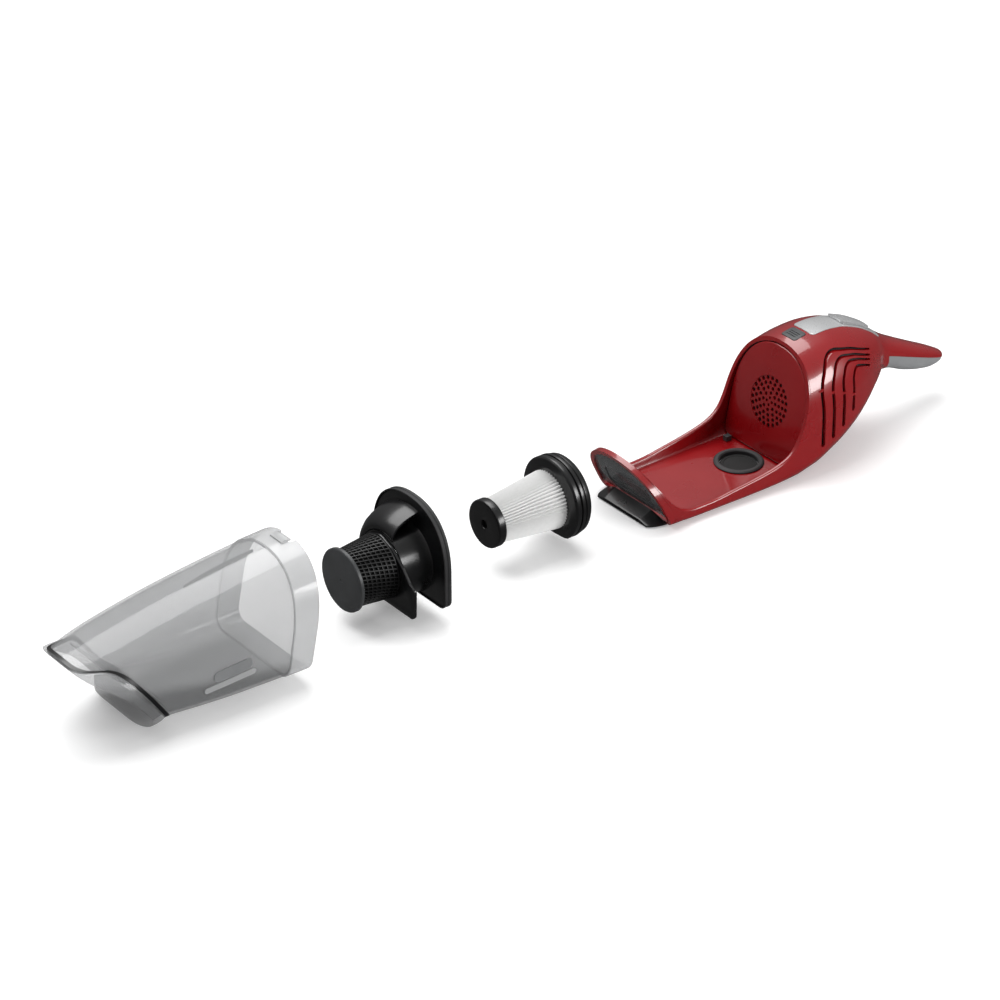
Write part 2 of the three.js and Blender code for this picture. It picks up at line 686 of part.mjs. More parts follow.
function inletFlap() {
  const HALF = 33;
  const LOW = 20;
  const THICK = 1.6;
  const slab = loft([LOW, FLAP_TOP].map((z) => [
    [flapX(z), HALF, z], [flapX(z) + THICK * 1.4, HALF, z],
    [flapX(z) + THICK * 1.4, -HALF, z], [flapX(z), -HALF, z]]));
  return slab.add(rod([flapX(FLAP_TOP), -HALF, FLAP_TOP], [flapX(FLAP_TOP), HALF, FLAP_TOP], 2.4, 16))
    .subtract(rod([flapX(FLAP_TOP), -60, FLAP_TOP], [flapX(FLAP_TOP), 60, FLAP_TOP], 1.1, 16));
}

function flapPin() {
  return rod([flapX(FLAP_TOP), -35, FLAP_TOP], [flapX(FLAP_TOP), 35, FLAP_TOP], 0.8, 12);
}

piece('cup_shell', cupShell(), 'smoke');
piece('cup_collar', cupCollar(), 'clear');
piece('mouth_seal', mouthSeal(), 'rubber');
piece('mouth_frame', mouthFrame(), 'clear');
piece('inlet_flap', inletFlap(), 'midGrey');
piece('flap_pin', flapPin(), 'steel');

// ---------------------------------------------------------------- pre-filter
const NECK_R = 28.5;
const BAFFLE_X = -265;

function cycloneCap() {
  return turned([[CYCLONE_FRONT, 0], [CYCLONE_FRONT, 27], [CYCLONE_FRONT + 1.2, 28.5],
    [CYCLONE_FRONT + 4, 28.5], [CYCLONE_FRONT + 4, 25], [CYCLONE_FRONT + 2.4, 24],
    [CYCLONE_FRONT + 2.4, 0]]).subtract(rod(
    [CYCLONE_FRONT - 1, 0, AXIS_Z], [CYCLONE_FRONT + 1, 0, AXIS_Z], 1.2, 12));
}

function screenCone() {
  const start = CYCLONE_FRONT + 4 + GAP;
  const end = BAFFLE_X - GAP;
  let cone = turned([[start, 25], [end, 28.5], [end, 26.7], [start, 23.2], [start, 25]]);
  const SLOTS = 30;
  for (let i = 0; i < SLOTS; i += 1) {
    const slot = new THREE.BoxGeometry(end - start - 5, 12, 2.6);
    slot.translate((start + end) / 2, 26, 0);
    slot.rotateX(((i + 0.5) / SLOTS) * Math.PI * 2);
    slot.translate(0, 0, AXIS_Z);
    cone = cone.subtract(solid(slot));
  }
  return cone;
}

const BAFFLE_LINE = [ // half of the baffle's outline, as [y, z]
  [42, 11.2], [45.5, 13], [47.3, 17], [48, 38], [45, 41.5], [40, 44.5], [33, 53], [24.5, 60.5], [13, 69],
  [6, 72.3], [0, 73.2],
];
const PLATE_BOTTOM = 12.3; // stays above the dust cup's inner floor
const plateSection = (x) => ({ x, half: 49.5, bottom: PLATE_BOTTOM, top: 99, shoulder: 0.38, corner: 8, power: 2.3 });

function frontBaffle() {
  const outline = [...BAFFLE_LINE, ...BAFFLE_LINE.slice(0, -1).reverse().map(([y, z]) => [-y, z])];
  return loft([0, 3].map((d) => outline.map(([y, z]) => [BAFFLE_X + d, y, z])))
    .subtract(rod([BAFFLE_X - 5, 0, AXIS_Z], [BAFFLE_X + 10, 0, AXIS_Z], NECK_R - 2, 48));
}

function rearPlate() {
  return loft([0, 4].map((d) => arch(plateSection(CYCLONE_PLATE + d))))
    .subtract(rod([CYCLONE_PLATE - 5, 0, AXIS_Z], [CYCLONE_PLATE + 10, 0, AXIS_Z], NECK_R, 48));
}

function cycloneNeck() {
  const start = BAFFLE_X + 3 + GAP;
  const end = CYCLONE_PLATE - GAP;
  const WALL = 2;
  const FLARE = 2.5;
  const cone = turned([[start, NECK_R], [start, NECK_R + WALL], [end, NECK_R + WALL + FLARE], [end, NECK_R],
    [start, NECK_R]]);
  return cone.subtract(halfSpace([0, 0, PLATE_BOTTOM + 0.5], [0, 0, -1])); // flat underneath, clear of the cup
}

// domed hood over the top and the far side of the neck; its near end is open
function cycloneHood() {
  const OUTSIDE = [[-261, 36], [-258, 39.4], [-254, 42.4], [-248, 45.2], [-242, 47], [CYCLONE_PLATE - GAP, 48.6]];
  const inside = OUTSIDE.map(([x, radius]) => [x, radius - 2]).reverse();
  const NEAR_END = -13;
  const LOW_END = 47;
  return turned([...OUTSIDE, ...inside, OUTSIDE[0]], 0, AXIS_Z, 48)
    .subtract(halfSpace([0, 0, LOW_END], [0, 0, -1]))
    .subtract(halfSpace([0, NEAR_END, 0], [0, -1, 0]));
}

function plateSeal() {
  const SEAL_RISE = 1.5;
  const x = CYCLONE_PLATE;
  const rib = (start, end, grow) => tube([start, end].map((d) => (
    { ...plateSection(x + d), half: 49.5 + grow, bottom: PLATE_BOTTOM - grow, top: 99 + grow })), grow - GAP);
  return rib(-1, 6, 0.9).add(rib(-1, 1, SEAL_RISE)).add(rib(3, 6, SEAL_RISE));
}

piece('cyclone_cap', cycloneCap(), 'darkGrey');
piece('cyclone_screen', screenCone(), 'black');
piece('cyclone_baffle', frontBaffle(), 'black');
piece('cyclone_neck', cycloneNeck(), 'black');
piece('cyclone_hood', cycloneHood(), 'black');
piece('cyclone_plate', rearPlate(), 'black');
piece('cyclone_seal', plateSeal(), 'rubber');

// ---------------------------------------------------------------- filter
const PLEATS = 40;
const PLEAT_START = FILTER_FRONT + 8 + GAP;
const PLEAT_END = FILTER_RING - GAP;

function filterCap() {
  return turned([[FILTER_FRONT, 4], [FILTER_FRONT, 20.5], [FILTER_FRONT + 1.5, 22], [FILTER_FRONT + 8, 22],
    [FILTER_FRONT + 8, 4], [FILTER_FRONT, 4]]);
}

function pleatPack() {
  const ring = (x, radius) => Array.from({ length: PLEATS * 2 }, (unused, i) => {
    const r = radius - (i % 2 === 0 ? 0 : 2.6);
    const turn = (i / (PLEATS * 2)) * Math.PI * 2;
    return [x, r * Math.cos(turn), AXIS_Z + r * Math.sin(turn)];
  });
  return loft([ring(PLEAT_START, 20), ring(PLEAT_END, 27)])
    .subtract(rod([PLEAT_START - 1, 0, AXIS_Z], [PLEAT_END + 1, 0, AXIS_Z], 14, 32, 21));
}

function filterCore() {
  return turned([[PLEAT_START, 12], [PLEAT_START, 13.4], [PLEAT_END, 20.2], [PLEAT_END, 18.6],
    [PLEAT_START, 12]], 0, AXIS_Z, 24);
}

const RING_FLAT = 30; // the ring's underside is cut flat this far below the axis

function filterRing() {
  const x = FILTER_RING;
  return turned([[x, 22], [x, 36], [x + 4, 38], [x + 7, 38], [x + 7, 36.4], [x + 11, 36.4],
    [x + 11, 38], [x + 16, 38], [x + 20, 35], [x + 20, 22], [x, 22]])
    .subtract(halfSpace([0, 0, AXIS_Z - RING_FLAT], [0, 0, -1]));
}

function filterGasket() {
  const x = FILTER_RING + 20 + GAP;
  return turned([[x, 24], [x, 29], [x + 2.4, 28], [x + 2.4, 25], [x, 24]]);
}

piece('filter_cap', filterCap(), 'black');
piece('filter_pleats', pleatPack(), 'paper');
piece('filter_core', filterCore(), 'midGrey');
piece('filter_ring', filterRing(), 'black');
piece('filter_gasket', filterGasket(), 'rubber');

// the row's origin is the middle of its length, on the floor
const bounds = new THREE.Box3().setFromObject(layout);
layout.position.set(-(bounds.min.x + bounds.max.x) / 2, 0, -bounds.min.z);

export default vacuum;
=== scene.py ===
import math
import bmesh
import bpy
from mathutils import Matrix, Vector


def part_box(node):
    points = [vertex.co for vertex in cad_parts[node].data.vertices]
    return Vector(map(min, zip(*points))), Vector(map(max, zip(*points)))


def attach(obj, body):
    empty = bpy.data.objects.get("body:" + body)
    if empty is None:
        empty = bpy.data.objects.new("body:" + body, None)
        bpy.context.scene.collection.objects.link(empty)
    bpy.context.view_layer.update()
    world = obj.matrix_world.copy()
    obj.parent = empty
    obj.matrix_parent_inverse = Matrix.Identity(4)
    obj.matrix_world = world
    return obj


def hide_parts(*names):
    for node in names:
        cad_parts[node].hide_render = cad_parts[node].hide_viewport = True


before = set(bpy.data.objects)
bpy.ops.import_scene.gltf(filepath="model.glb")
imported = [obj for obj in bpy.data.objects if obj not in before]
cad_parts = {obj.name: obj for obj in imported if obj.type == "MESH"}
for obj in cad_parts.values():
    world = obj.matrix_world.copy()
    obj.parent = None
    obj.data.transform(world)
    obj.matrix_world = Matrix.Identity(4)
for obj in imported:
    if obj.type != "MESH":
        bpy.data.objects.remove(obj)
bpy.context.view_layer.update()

# ---------------------------------------------------------------- place and units
# Lengths below are millimetres. x = 0 is the nozzle's tip line, y = 0 the symmetry plane, z = 0 the blade's
# underside; at() turns them into metres in the row's frame.
MM = 0.001
BLADE_TIP_X = -2.0
FOOT_BOTTOM_Z = -1.0
ORIGIN = Vector((
    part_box("nozzle_blade")[0].x - BLADE_TIP_X * MM,
    0.0,
    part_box("foot_near")[0].z - FOOT_BOTTOM_Z * MM,
))
AXIS_Z = 43.0  # filter and pre-filter axis
SECTION_Z = 8.0  # a leaning section's x is its x at this height


def at(x, y, z):
    return ORIGIN + Vector((x, y, z)) * MM


# ---------------------------------------------------------------- node materials
def new_material(name):
    material = bpy.data.materials.new(name)
    material.use_nodes = True
    tree = material.node_tree
    shader = tree.nodes["Principled BSDF"]
    return material, tree, shader


def textured(name, color, second, roughness, *, scale=60.0, detail=4.0, mix=0.5, rough_spread=0.08,
             bump=0.02, bump_scale=400.0, **sockets):
    """Principled material whose colour and roughness vary with noise, over a fine bump."""
    material, tree, shader = new_material(name)
    nodes, links = tree.nodes, tree.links
    coords = nodes.new("ShaderNodeTexCoord")
    cloud = nodes.new("ShaderNodeTexNoise")
    cloud.inputs["Scale"].default_value = scale
    cloud.inputs["Detail"].default_value = detail
    links.new(coords.outputs["Object"], cloud.inputs["Vector"])
    ramp = nodes.new("ShaderNodeMapRange")
    ramp.inputs["From Min"].default_value = 0.35
    ramp.inputs["From Max"].default_value = 0.65
    ramp.inputs["To Max"].default_value = mix
    links.new(cloud.outputs["Fac"], ramp.inputs["Value"])
    blend = nodes.new("ShaderNodeMix")
    blend.data_type = "RGBA"
    blend.inputs["A"].default_value = (*color, 1)
    blend.inputs["B"].default_value = (*second, 1)
    links.new(ramp.outputs["Result"], blend.inputs["Factor"])
    links.new(blend.outputs["Result"], shader.inputs["Base Color"])
    rough = nodes.new("ShaderNodeMapRange")
    rough.inputs["To Min"].default_value = max(roughness - rough_spread, 0.02)
    rough.inputs["To Max"].default_value = roughness + rough_spread
    links.new(cloud.outputs["Fac"], rough.inputs["Value"])
    links.new(rough.outputs["Result"], shader.inputs["Roughness"])
    grain = nodes.new("ShaderNodeTexNoise")
    grain.inputs["Scale"].default_value = bump_scale
    grain.inputs["Detail"].default_value = 3.0
    links.new(coords.outputs["Object"], grain.inputs["Vector"])
    relief = nodes.new("ShaderNodeBump")
    relief.inputs["Strength"].default_value = bump
    relief.inputs["Distance"].default_value = 0.0004
    links.new(grain.outputs["Fac"], relief.inputs["Height"])
    links.new(relief.outputs["Normal"], shader.inputs["Normal"])
    for socket, value in sockets.items():
        shader.inputs[socket.replace("_", " ")].default_value = value
    return material


def paint_low_shade(material, edge, slope, spread, color):
    """Painted shade: mixes a second colour into the part of a piece below a sloping line, z + slope * x =
    edge.
    """
    tree = material.node_tree
    nodes, links = tree.nodes, tree.links
    shader = nodes["Principled BSDF"]
    coords = nodes.new("ShaderNodeTexCoord")
    height = nodes.new("ShaderNodeVectorMath")
    height.operation = "DOT_PRODUCT"
    height.inputs[1].default_value = (slope, 0.0, 1.0)
    links.new(coords.outputs["Object"], height.inputs[0])
    fade = nodes.new("ShaderNodeMapRange")
    fade.interpolation_type = "SMOOTHSTEP"
    fade.inputs["From Min"].default_value = edge - spread
    fade.inputs["From Max"].default_value = edge + spread
    links.new(height.outputs["Value"], fade.inputs["Value"])
    blend = nodes.new("ShaderNodeMix")
    blend.data_type = "RGBA"
    blend.inputs["A"].default_value = (*color, 1)
    links.new(shader.inputs["Base Color"].links[0].from_socket, blend.inputs["B"])
    links.new(fade.outputs["Result"], blend.inputs["Factor"])
    links.new(blend.outputs["Result"], shader.inputs["Base Color"])


def make_materials():
    return {
        "red": textured(
            "red_lacquer", (0.235, 0.001, 0.003), (0.27, 0.002, 0.004), 0.28, scale=30.0, detail=2.0,
            rough_spread=0.03, bump=0.004, bump_scale=1500.0, Coat_Weight=0.8,
            Coat_Roughness=0.06),
        "black": textured(
            "black_gloss", (0.0035, 0.0035, 0.004), (0.006, 0.006, 0.0065), 0.30, bump=0.03,
            Coat_Weight=0.25, Coat_Roughness=0.14),
        "panel": textured(
            "panel_satin", (0.060, 0.062, 0.064), (0.075, 0.077, 0.080), 0.24, bump=0.04, bump_scale=1500.0,
            Coat_Weight=0.5, Coat_Roughness=0.15),
        "dark": textured(
            "dark_satin", (0.040, 0.042, 0.044), (0.055, 0.057, 0.060), 0.42, bump=0.12, bump_scale=1800.0),
        "grey": textured(
            "grey_satin", (0.20, 0.205, 0.21), (0.24, 0.245, 0.25), 0.38, bump=0.12, bump_scale=1600.0),
        "silver": textured(
            "silver_lacquer", (0.50, 0.505, 0.51), (0.58, 0.585, 0.59), 0.30, scale=1200.0, bump=0.05,
            Metallic=0.45, Coat_Weight=0.4, Coat_Roughness=0.1),
        "rubber": textured(
            "rubber", (0.018, 0.018, 0.019), (0.030, 0.030, 0.031), 0.62, bump=0.25, bump_scale=1400.0),
        "smoke": textured(
            "smoke_clear", (0.36, 0.365, 0.37), (0.40, 0.405, 0.41), 0.12, scale=12.0, rough_spread=0.03,
            bump=0.0, Alpha=0.46, Coat_Weight=0.2, Coat_Roughness=0.05),
        # painted shade: near-black, standing in for the shade deep in the port and inside the pre-filter
        # cone
        "hollow": textured(
            "shade_black", (0.0015, 0.0015, 0.0016), (0.003, 0.003, 0.003), 0.8, bump=0.02),
        "rib": textured(
            "matt_black", (0.006, 0.006, 0.0065), (0.010, 0.010, 0.0105), 0.5, bump=0.05),
        "clear": textured(
            "light_clear", (0.50, 0.505, 0.51), (0.54, 0.545, 0.55), 0.16, scale=12.0, rough_spread=0.03,
            bump=0.01, Alpha=0.62, Coat_Weight=0.4, Coat_Roughness=0.05),
        "paper": textured(
            "pleated_paper", (0.72, 0.72, 0.715), (0.66, 0.66, 0.655), 0.85, scale=300.0, bump=0.08,
            bump_scale=2500.0, Sheen_Weight=0.1),
        "steel": textured(
            "brushed_steel", (0.50, 0.50, 0.51), (0.62, 0.62, 0.63), 0.32, scale=500.0, bump=0.1,
            Metallic=1.0),
        "board": textured(
            "circuit_board", (0.02, 0.11, 0.05), (0.05, 0.20, 0.08), 0.4, scale=700.0, mix=1.0),
        "cell": textured(
            "cell_sleeve", (0.03, 0.10, 0.22), (0.04, 0.13, 0.28), 0.35, bump=0.04),
    }


MATERIALS = make_materials()
SHADE_LINE_SLOPE = 0.163  # painted shade: the cup's darker lower zone stands in for shade and dark reflection, and ends on a line that rises towards the mouth
SHADE_LINE_AT = at(-397.0, 0.0, 22.0)
# painted shade: the smoke material turns a darker grey below this line
paint_low_shade(MATERIALS["smoke"], SHADE_LINE_AT.z + SHADE_LINE_SLOPE * SHADE_LINE_AT.x, SHADE_LINE_SLOPE, 0.007, (0.17, 0.172, 0.175))

CAD_FINISH = {
    "dark": ["catch_near", "catch_far", "spring_shelf", "fan_housing", "motor_mount", "battery_cradle"],
    "black": ["charging_socket"],
    "grey": ["impeller", "filter_core"],
    "steel": ["button_spring", "motor_can", "flap_pin"],
    "board": ["control_board"],
    "cell": [f"battery_cell_{i}" for i in range(1, 6)],
}


def finish_cad_nodes():
    for finish, names in CAD_FINISH.items():
        for name in names:
            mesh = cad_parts[name].data
            mesh.materials.clear()
            mesh.materials.append(MATERIALS[finish])


# ---------------------------------------------------------------- mesh helpers
SHARP_ANGLE = 35.0  # faces that meet at more than this keep a hard edge
BEVEL_ANGLE = 40.0


def mesh_object(name, verts, faces, merge):
    """A mesh from millimetre points, with close points merged and its faces turned outwards."""
    mesh = bpy.data.meshes.new(name)
    mesh.from_pydata([at(*v) for v in verts], [], faces)
    work = bmesh.new()
    work.from_mesh(mesh)
    bmesh.ops.remove_doubles(work, verts=work.verts, dist=merge * MM)
    bmesh.ops.recalc_face_normals(work, faces=work.faces)
    work.to_mesh(mesh)
    work.free()
    piece = bpy.data.objects.new(name, mesh)
    bpy.context.scene.collection.objects.link(piece)
    return piece


def add_piece(name, verts, faces, finish, body, slot, nodes=(), sharp=SHARP_ANGLE, merge=0.002):
    """A smooth-shaded object that rides on a CAD body, in place of the named nodes."""
    piece = mesh_object(name, verts, faces, merge)
    piece.data.materials.append(MATERIALS[finish])
    shade(piece, sharp)
    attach(piece, body)
    if nodes:
        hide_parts(*nodes)
    return piece


def shade(piece, sharp=SHARP_ANGLE):
    """Smooth shading, with hard edges where faces meet at more than the given angle."""
    work = bmesh.new()
    work.from_mesh(piece.data)
    limit = math.radians(sharp)
    for face in work.faces:
        face.smooth = True
    for edge in work.edges:
        edge.smooth = len(edge.link_faces) == 2 and edge.calc_face_angle(0.0) < limit
    work.to_mesh(piece.data)
    work.free()


def apply_modifiers(piece):
    graph = bpy.context.evaluated_depsgraph_get()
    graph.update()
    done = bpy.data.meshes.new_from_object(piece.evaluated_get(graph), depsgraph=graph)
    piece.modifiers.clear()
    piece.data = done


def carve(piece, cutters, operation="DIFFERENCE"):
    """Boolean with scratch objects, which are then deleted."""
    for cutter in cutters:
        change = piece.modifiers.new("carve", "BOOLEAN")
        change.operation = operation
        change.solver = "EXACT"
        change.object = cutter
    bpy.context.view_layer.update()
    apply_modifiers(piece)
    for cutter in cutters:
        bpy.data.objects.remove(cutter, do_unlink=True)
    shade(piece)


def scratch(verts, faces):
    return mesh_object("cutter", verts, faces, 0.001)


def soften(piece, width):
    """Rounds the sharp edges."""
    bevel = piece.modifiers.new("soften", "BEVEL")
    bevel.width = width * MM
    bevel.segments = 2
    bevel.limit_method = "ANGLE"
    bevel.angle_limit = math.radians(BEVEL_ANGLE)
    bevel.harden_normals = False
    bpy.context.view_layer.update()
    apply_modifiers(piece)
    shade(piece)


def skin(rings, ends="capped"):
    """Vertices and faces through rings of equal point counts, with the ends capped or looped together."""
    count = len(rings[0])
    verts = [p for ring in rings for p in ring]
    faces = []
    for r in range(len(rings) if ends == "looped" else len(rings) - 1):
        near, far = r * count, (r + 1) % len(rings) * count
        for i in range(count):
            j = (i + 1) % count
            faces.append((near + i, near + j, far + j, far + i))
    if ends == "capped":
        faces.append(tuple(range(count)))
        faces.append(tuple(range(len(verts) - count, len(verts))))
    return verts, faces


def circle(count):
    """Angles round a full turn."""
    return [2 * math.pi * i / count for i in range(count)]


def turned(profile, sides=96, closed=True):
    """Body of revolution about the filter axis, from (x, radius) points. An open one ends on the axis."""
    count = len(profile)
    verts, faces = skin([[(x, r * math.cos(a), AXIS_Z + r * math.sin(a)) for x, r in profile]
                         for a in circle(sides)], "looped")
    return verts, [face for i, face in enumerate(faces) if closed or i % count < count - 1]


def round_stack(x, y, levels, sides):
    """Upright round body through (radius, z) levels."""
    return skin([[(x + r * math.cos(a), y + r * math.sin(a), z) for a in circle(sides)] for r, z in levels])


def joined(parts):
    """One mesh from several (verts, faces) pairs."""
    verts, faces = [], []
    for v, f in parts:
        faces += [tuple(len(verts) + i for i in face) for face in f]
        verts += v
    return verts, faces


def rounded(points, radius, arc_steps=5):
    """Closed 2-D outline with its corners rounded. A point may carry its own radius as a third value."""
    result = []
    count = len(points)
    for i, point in enumerate(points):
        here = Vector(point[:2])
        own = point[2] if len(point) > 2 else radius
        before = Vector(points[i - 1][:2]) - here
        after = Vector(points[(i + 1) % count][:2]) - here
        if own <= 0 or before.length < 1e-6 or after.length < 1e-6:
            result.append(tuple(here))
            continue
        angle = before.angle(after)
        if angle > math.pi - 0.02:
            result.append(tuple(here))
            continue
        cut = min(own / math.tan(angle / 2), before.length * 0.49, after.length * 0.49)
        own = cut * math.tan(angle / 2)
        start, end = here + before.normalized() * cut, here + after.normalized() * cut
        centre = here + (before.normalized() + after.normalized()).normalized() * (own / math.sin(angle / 2))
        first, last = start - centre, end - centre
        turn = first.angle_signed(last)
        for k in range(arc_steps + 1):
            part = -turn * k / arc_steps
            result.append(tuple(centre + Matrix.Rotation(part, 2) @ first))
    return result


def prism(outline, axis, low, high):
    """Closed outline extruded along an axis. Outline points are the other two coordinates, in order."""
    def place(p, d):
        return {"x": (d, p[0], p[1]), "y": (p[0], d, p[1]), "z": (p[0], p[1], d)}[axis]
    return skin([[place(p, low) for p in outline], [place(p, high) for p in outline]])


def block(low, high):
    outline = [(low[0], low[1]), (high[0], low[1]), (high[0], high[1]), (low[0], high[1])]
    return prism(outline, "z", low[2], high[2])


# ---------------------------------------------------------------- arched sections
def half_outline(half, bottom, top, shoulder, corner, power):
    """Right half of an arched section, from the bottom middle to the crown, as (y, z)."""
    CORNER_STEPS = 14
    ARCH_STEPS = 60
    spring = bottom + (top - bottom) * shoulder
    corner = max(min(corner, spring - bottom - 0.5), 0.5)
    points = [(0.0, bottom), (half - corner, bottom)]
    for i in range(1, CORNER_STEPS + 1):
        t = -math.pi / 2 + (math.pi / 2) * i / CORNER_STEPS
        points.append((half - corner + corner * math.cos(t), bottom + corner + corner * math.sin(t)))
    for i in range(0, ARCH_STEPS + 1):
        t = (math.pi / 2) * i / ARCH_STEPS
        points.append((
            half * max(math.cos(t), 0.0) ** (2 / power),
            spring + (top - spring) * math.sin(t) ** (2 / power)))
    points[-1] = (0.0, top)
    return points


def resample(points, count, rim=None):
    """Evenly spaced points along a polyline, stopping where it first reaches the rim's height."""
    lengths = [0.0]
    stop = None
    for (y0, z0), (y1, z1) in zip(points, points[1:]):
        step = math.hypot(y1 - y0, z1 - z0)
        if rim is not None and stop is None and z1 >= rim and step > 0:
            stop = lengths[-1] + step * (rim - z0) / max(z1 - z0, 1e-9)
        lengths.append(lengths[-1] + step)
    total = lengths[-1] if stop is None else stop
    result = []
    k = 0
    for i in range(count):
        want = total * i / (count - 1)
        while k < len(lengths) - 2 and lengths[k + 1] < want:
            k += 1
        span = lengths[k + 1] - lengths[k]
        part = 0.0 if span == 0 else min((want - lengths[k]) / span, 1.0)
        result.append((
            points[k][0] + (points[k + 1][0] - points[k][0]) * part,
            points[k][1] + (points[k + 1][1] - points[k][1]) * part))
    return result


SECTION_KEYS = ("lean", "half", "bottom", "top", "shoulder", "corner", "power")


def spline(keys, x):
    """Smooth value through (x, value...) rows: cubic with slopes that never overshoot."""
    if x <= keys[0][0]:
        return list(keys[0][1:])
    if x >= keys[-1][0]:
        return list(keys[-1][1:])
    i = max(k for k in range(len(keys) - 1) if keys[k][0] <= x)
    x0, x1 = keys[i][0], keys[i + 1][0]
    t = (x - x0) / (x1 - x0)
    result = []
    for c in range(1, len(keys[0])):
        def slope(k):
            if k in (0, len(keys) - 1):
                near = (0, 1) if k == 0 else (k - 1, k)
                a, b = keys[near[0]], keys[near[1]]
                return (b[c] - a[c]) / (b[0] - a[0])
            left = (keys[k][c] - keys[k - 1][c]) / (keys[k][0] - keys[k - 1][0])
            right = (keys[k + 1][c] - keys[k][c]) / (keys[k + 1][0] - keys[k][0])
            if left * right <= 0:
                return 0.0
            return 2 * left * right / (left + right)
        m0, m1 = slope(i) * (x1 - x0), slope(i + 1) * (x1 - x0)
        a, b = keys[i][c], keys[i + 1][c]
        result.append(
            (2 * t**3 - 3 * t**2 + 1) * a + (t**3 - 2 * t**2 + t) * m0
            + (-2 * t**3 + 3 * t**2) * b + (t**3 - t**2) * m1)
    return result


def section_at(keys, x):
    return dict(zip(SECTION_KEYS, spline(keys, x)))


def placed(x, lean, points):
    return [(x + lean * (z - SECTION_Z), y, z) for y, z in points]


def full_ring(x, s, inset=0.0, count=64, floor=None):
    """Closed arched ring of a section, shrunk by the inset."""
    low = s["bottom"] + inset if floor is None else floor
    corner = max(s["corner"] - inset, 1.0)
    right = resample(half_outline(
        s["half"] - inset, low, s["top"] - inset, s["shoulder"], corner, s["power"]), count)
    left = [(-y, z) for y, z in reversed(right[1:-1])]
    return placed(x, s["lean"], right + left)


def steps(low, high, count):
    return [low + (high - low) * i / (count - 1) for i in range(count)]


# ---------------------------------------------------------------- red body
# x, lean, half width, bottom, crown, shoulder, corner radius, power of the arch
BODY_KEYS = [
    (12.0, -0.50, 48.5, 0.5, 60.2, 0.30, 7.0, 2.1),
    (18.0, -0.50, 49.0, 0.5, 60.8, 0.30, 7.0, 2.1),
    (45.0, -0.18, 49.8, 0.5, 78.0, 0.34, 6.0, 2.2),
    (90.0, 0.02, 51.0, 0.5, 94.0, 0.38, 6.0, 2.25),
    (130.0, 0.14, 52.6, 0.5, 106.0, 0.40, 8.0, 2.25),
    (158.5, 0.20, 53.6, 0.5, 111.5, 0.42, 12.0, 2.25),
    (181.0, 0.17, 54.0, 1.0, 114.8, 0.44, 20.0, 2.25),
    (205.0, 0.12, 52.0, 6.0, 116.0, 0.46, 26.0, 2.25),
    (231.0, 0.05, 46.5, 14.0, 114.2, 0.50, 28.0, 2.25),
    (256.0, 0.0, 38.0, 26.0, 108.0, 0.50, 26.0, 2.25),
    (277.0, -0.02, 28.0, 40.0, 98.5, 0.50, 20.0, 2.2),
    (292.0, -0.04, 20.5, 49.0, 88.5, 0.50, 15.0, 2.2),
    (306.0, -0.05, 17.8, 46.0, 79.0, 0.50, 13.0, 2.2),
    (325.0, -0.04, 16.5, 37.5, 68.0, 0.50, 12.0, 2.2),
    (345.0, -0.02, 15.0, 31.5, 57.0, 0.50, 10.0, 2.2),
    (362.0, 0.0, 12.5, 28.8, 48.0, 0.50, 8.0, 2.2),
    (372.0, 0.0, 9.5, 29.2, 42.5, 0.50, 6.0, 2.1),
    (378.0, 0.0, 5.5, 31.2, 38.8, 0.50, 3.5, 2.0),
    (380.0, 0.0, 2.0, 33.2, 36.6, 0.50, 1.2, 2.0),
]
# the opening over the tray: x and the height of its rim
RIM_KEYS = [
    (18.02, 60.0), (18.2, 56.0), (18.7, 49.0), (19.6, 39.0), (21.5, 28.0), (25.0, 18.5), (31.0, 12.0),
    (42.0, 9.4), (60.0, 9.6), (85.0, 12.2), (112.0, 15.6), (131.0, 19.4), (142.0, 24.0), (148.5, 31.0),
    (152.5, 42.0), (155.0, 56.0), (156.8, 72.0), (158.0, 88.0), (158.7, 100.0), (159.05, 107.5),
    (159.2, 110.8),
]
RIM_WALL = 4.6
HOUSING_WALL = 2.6
TRAY_FLOOR = 3.5
SHELL_END = 284.0  # the moulding is solid behind this, apart from the grip's seam
OUTER_POINTS = 66
RIM_POINTS = 6


def rim_height(x):
    return spline(RIM_KEYS, x)[0]


def body_stations():
    """(x, rim height or None where the section is a whole arch), from the front arch to the tip."""
    stations = [(x, None) for x in (12.0, 12.3, 13.2, 15.0, 16.8, 17.7)]
    fine = []
    for (x0, z0), (x1, z1) in zip(RIM_KEYS, RIM_KEYS[1:]):
        parts = max(2, round(max((x1 - x0) / 3.2, abs(z1 - z0) / 3.2)))
        fine += [x0 + (x1 - x0) * k / parts for k in range(parts)]
    fine.append(RIM_KEYS[-1][0])
    stations.append((18.0, None))
    stations += [(x, rim_height(x)) for x in fine]
    stations.append((159.25, None))
    stations += [(x, None) for x in steps(161.0, SHELL_END, 44)]
    return stations


def station_points(x, rim):
    """Half of a section: outer face from the bottom up, round the rim, inner face back to the floor."""
    s = section_at(BODY_KEYS, x)
    blend = min(max((x - 140.0) / 30.0, 0.0), 1.0)
    wall = RIM_WALL + (HOUSING_WALL - RIM_WALL) * blend
    floor = TRAY_FLOOR if x < 170 else s["bottom"] + wall
    outer = resample(half_outline(
        s["half"], s["bottom"], s["top"], s["shoulder"], s["corner"], s["power"]), OUTER_POINTS, rim)
    inner = resample(half_outline(
        s["half"] - wall, floor, s["top"] - wall, s["shoulder"], max(s["corner"] - wall, 2.0), s["power"]),
        OUTER_POINTS, None if rim is None else min(rim, s["top"] - wall - 0.4))
    return s["lean"], outer, inner


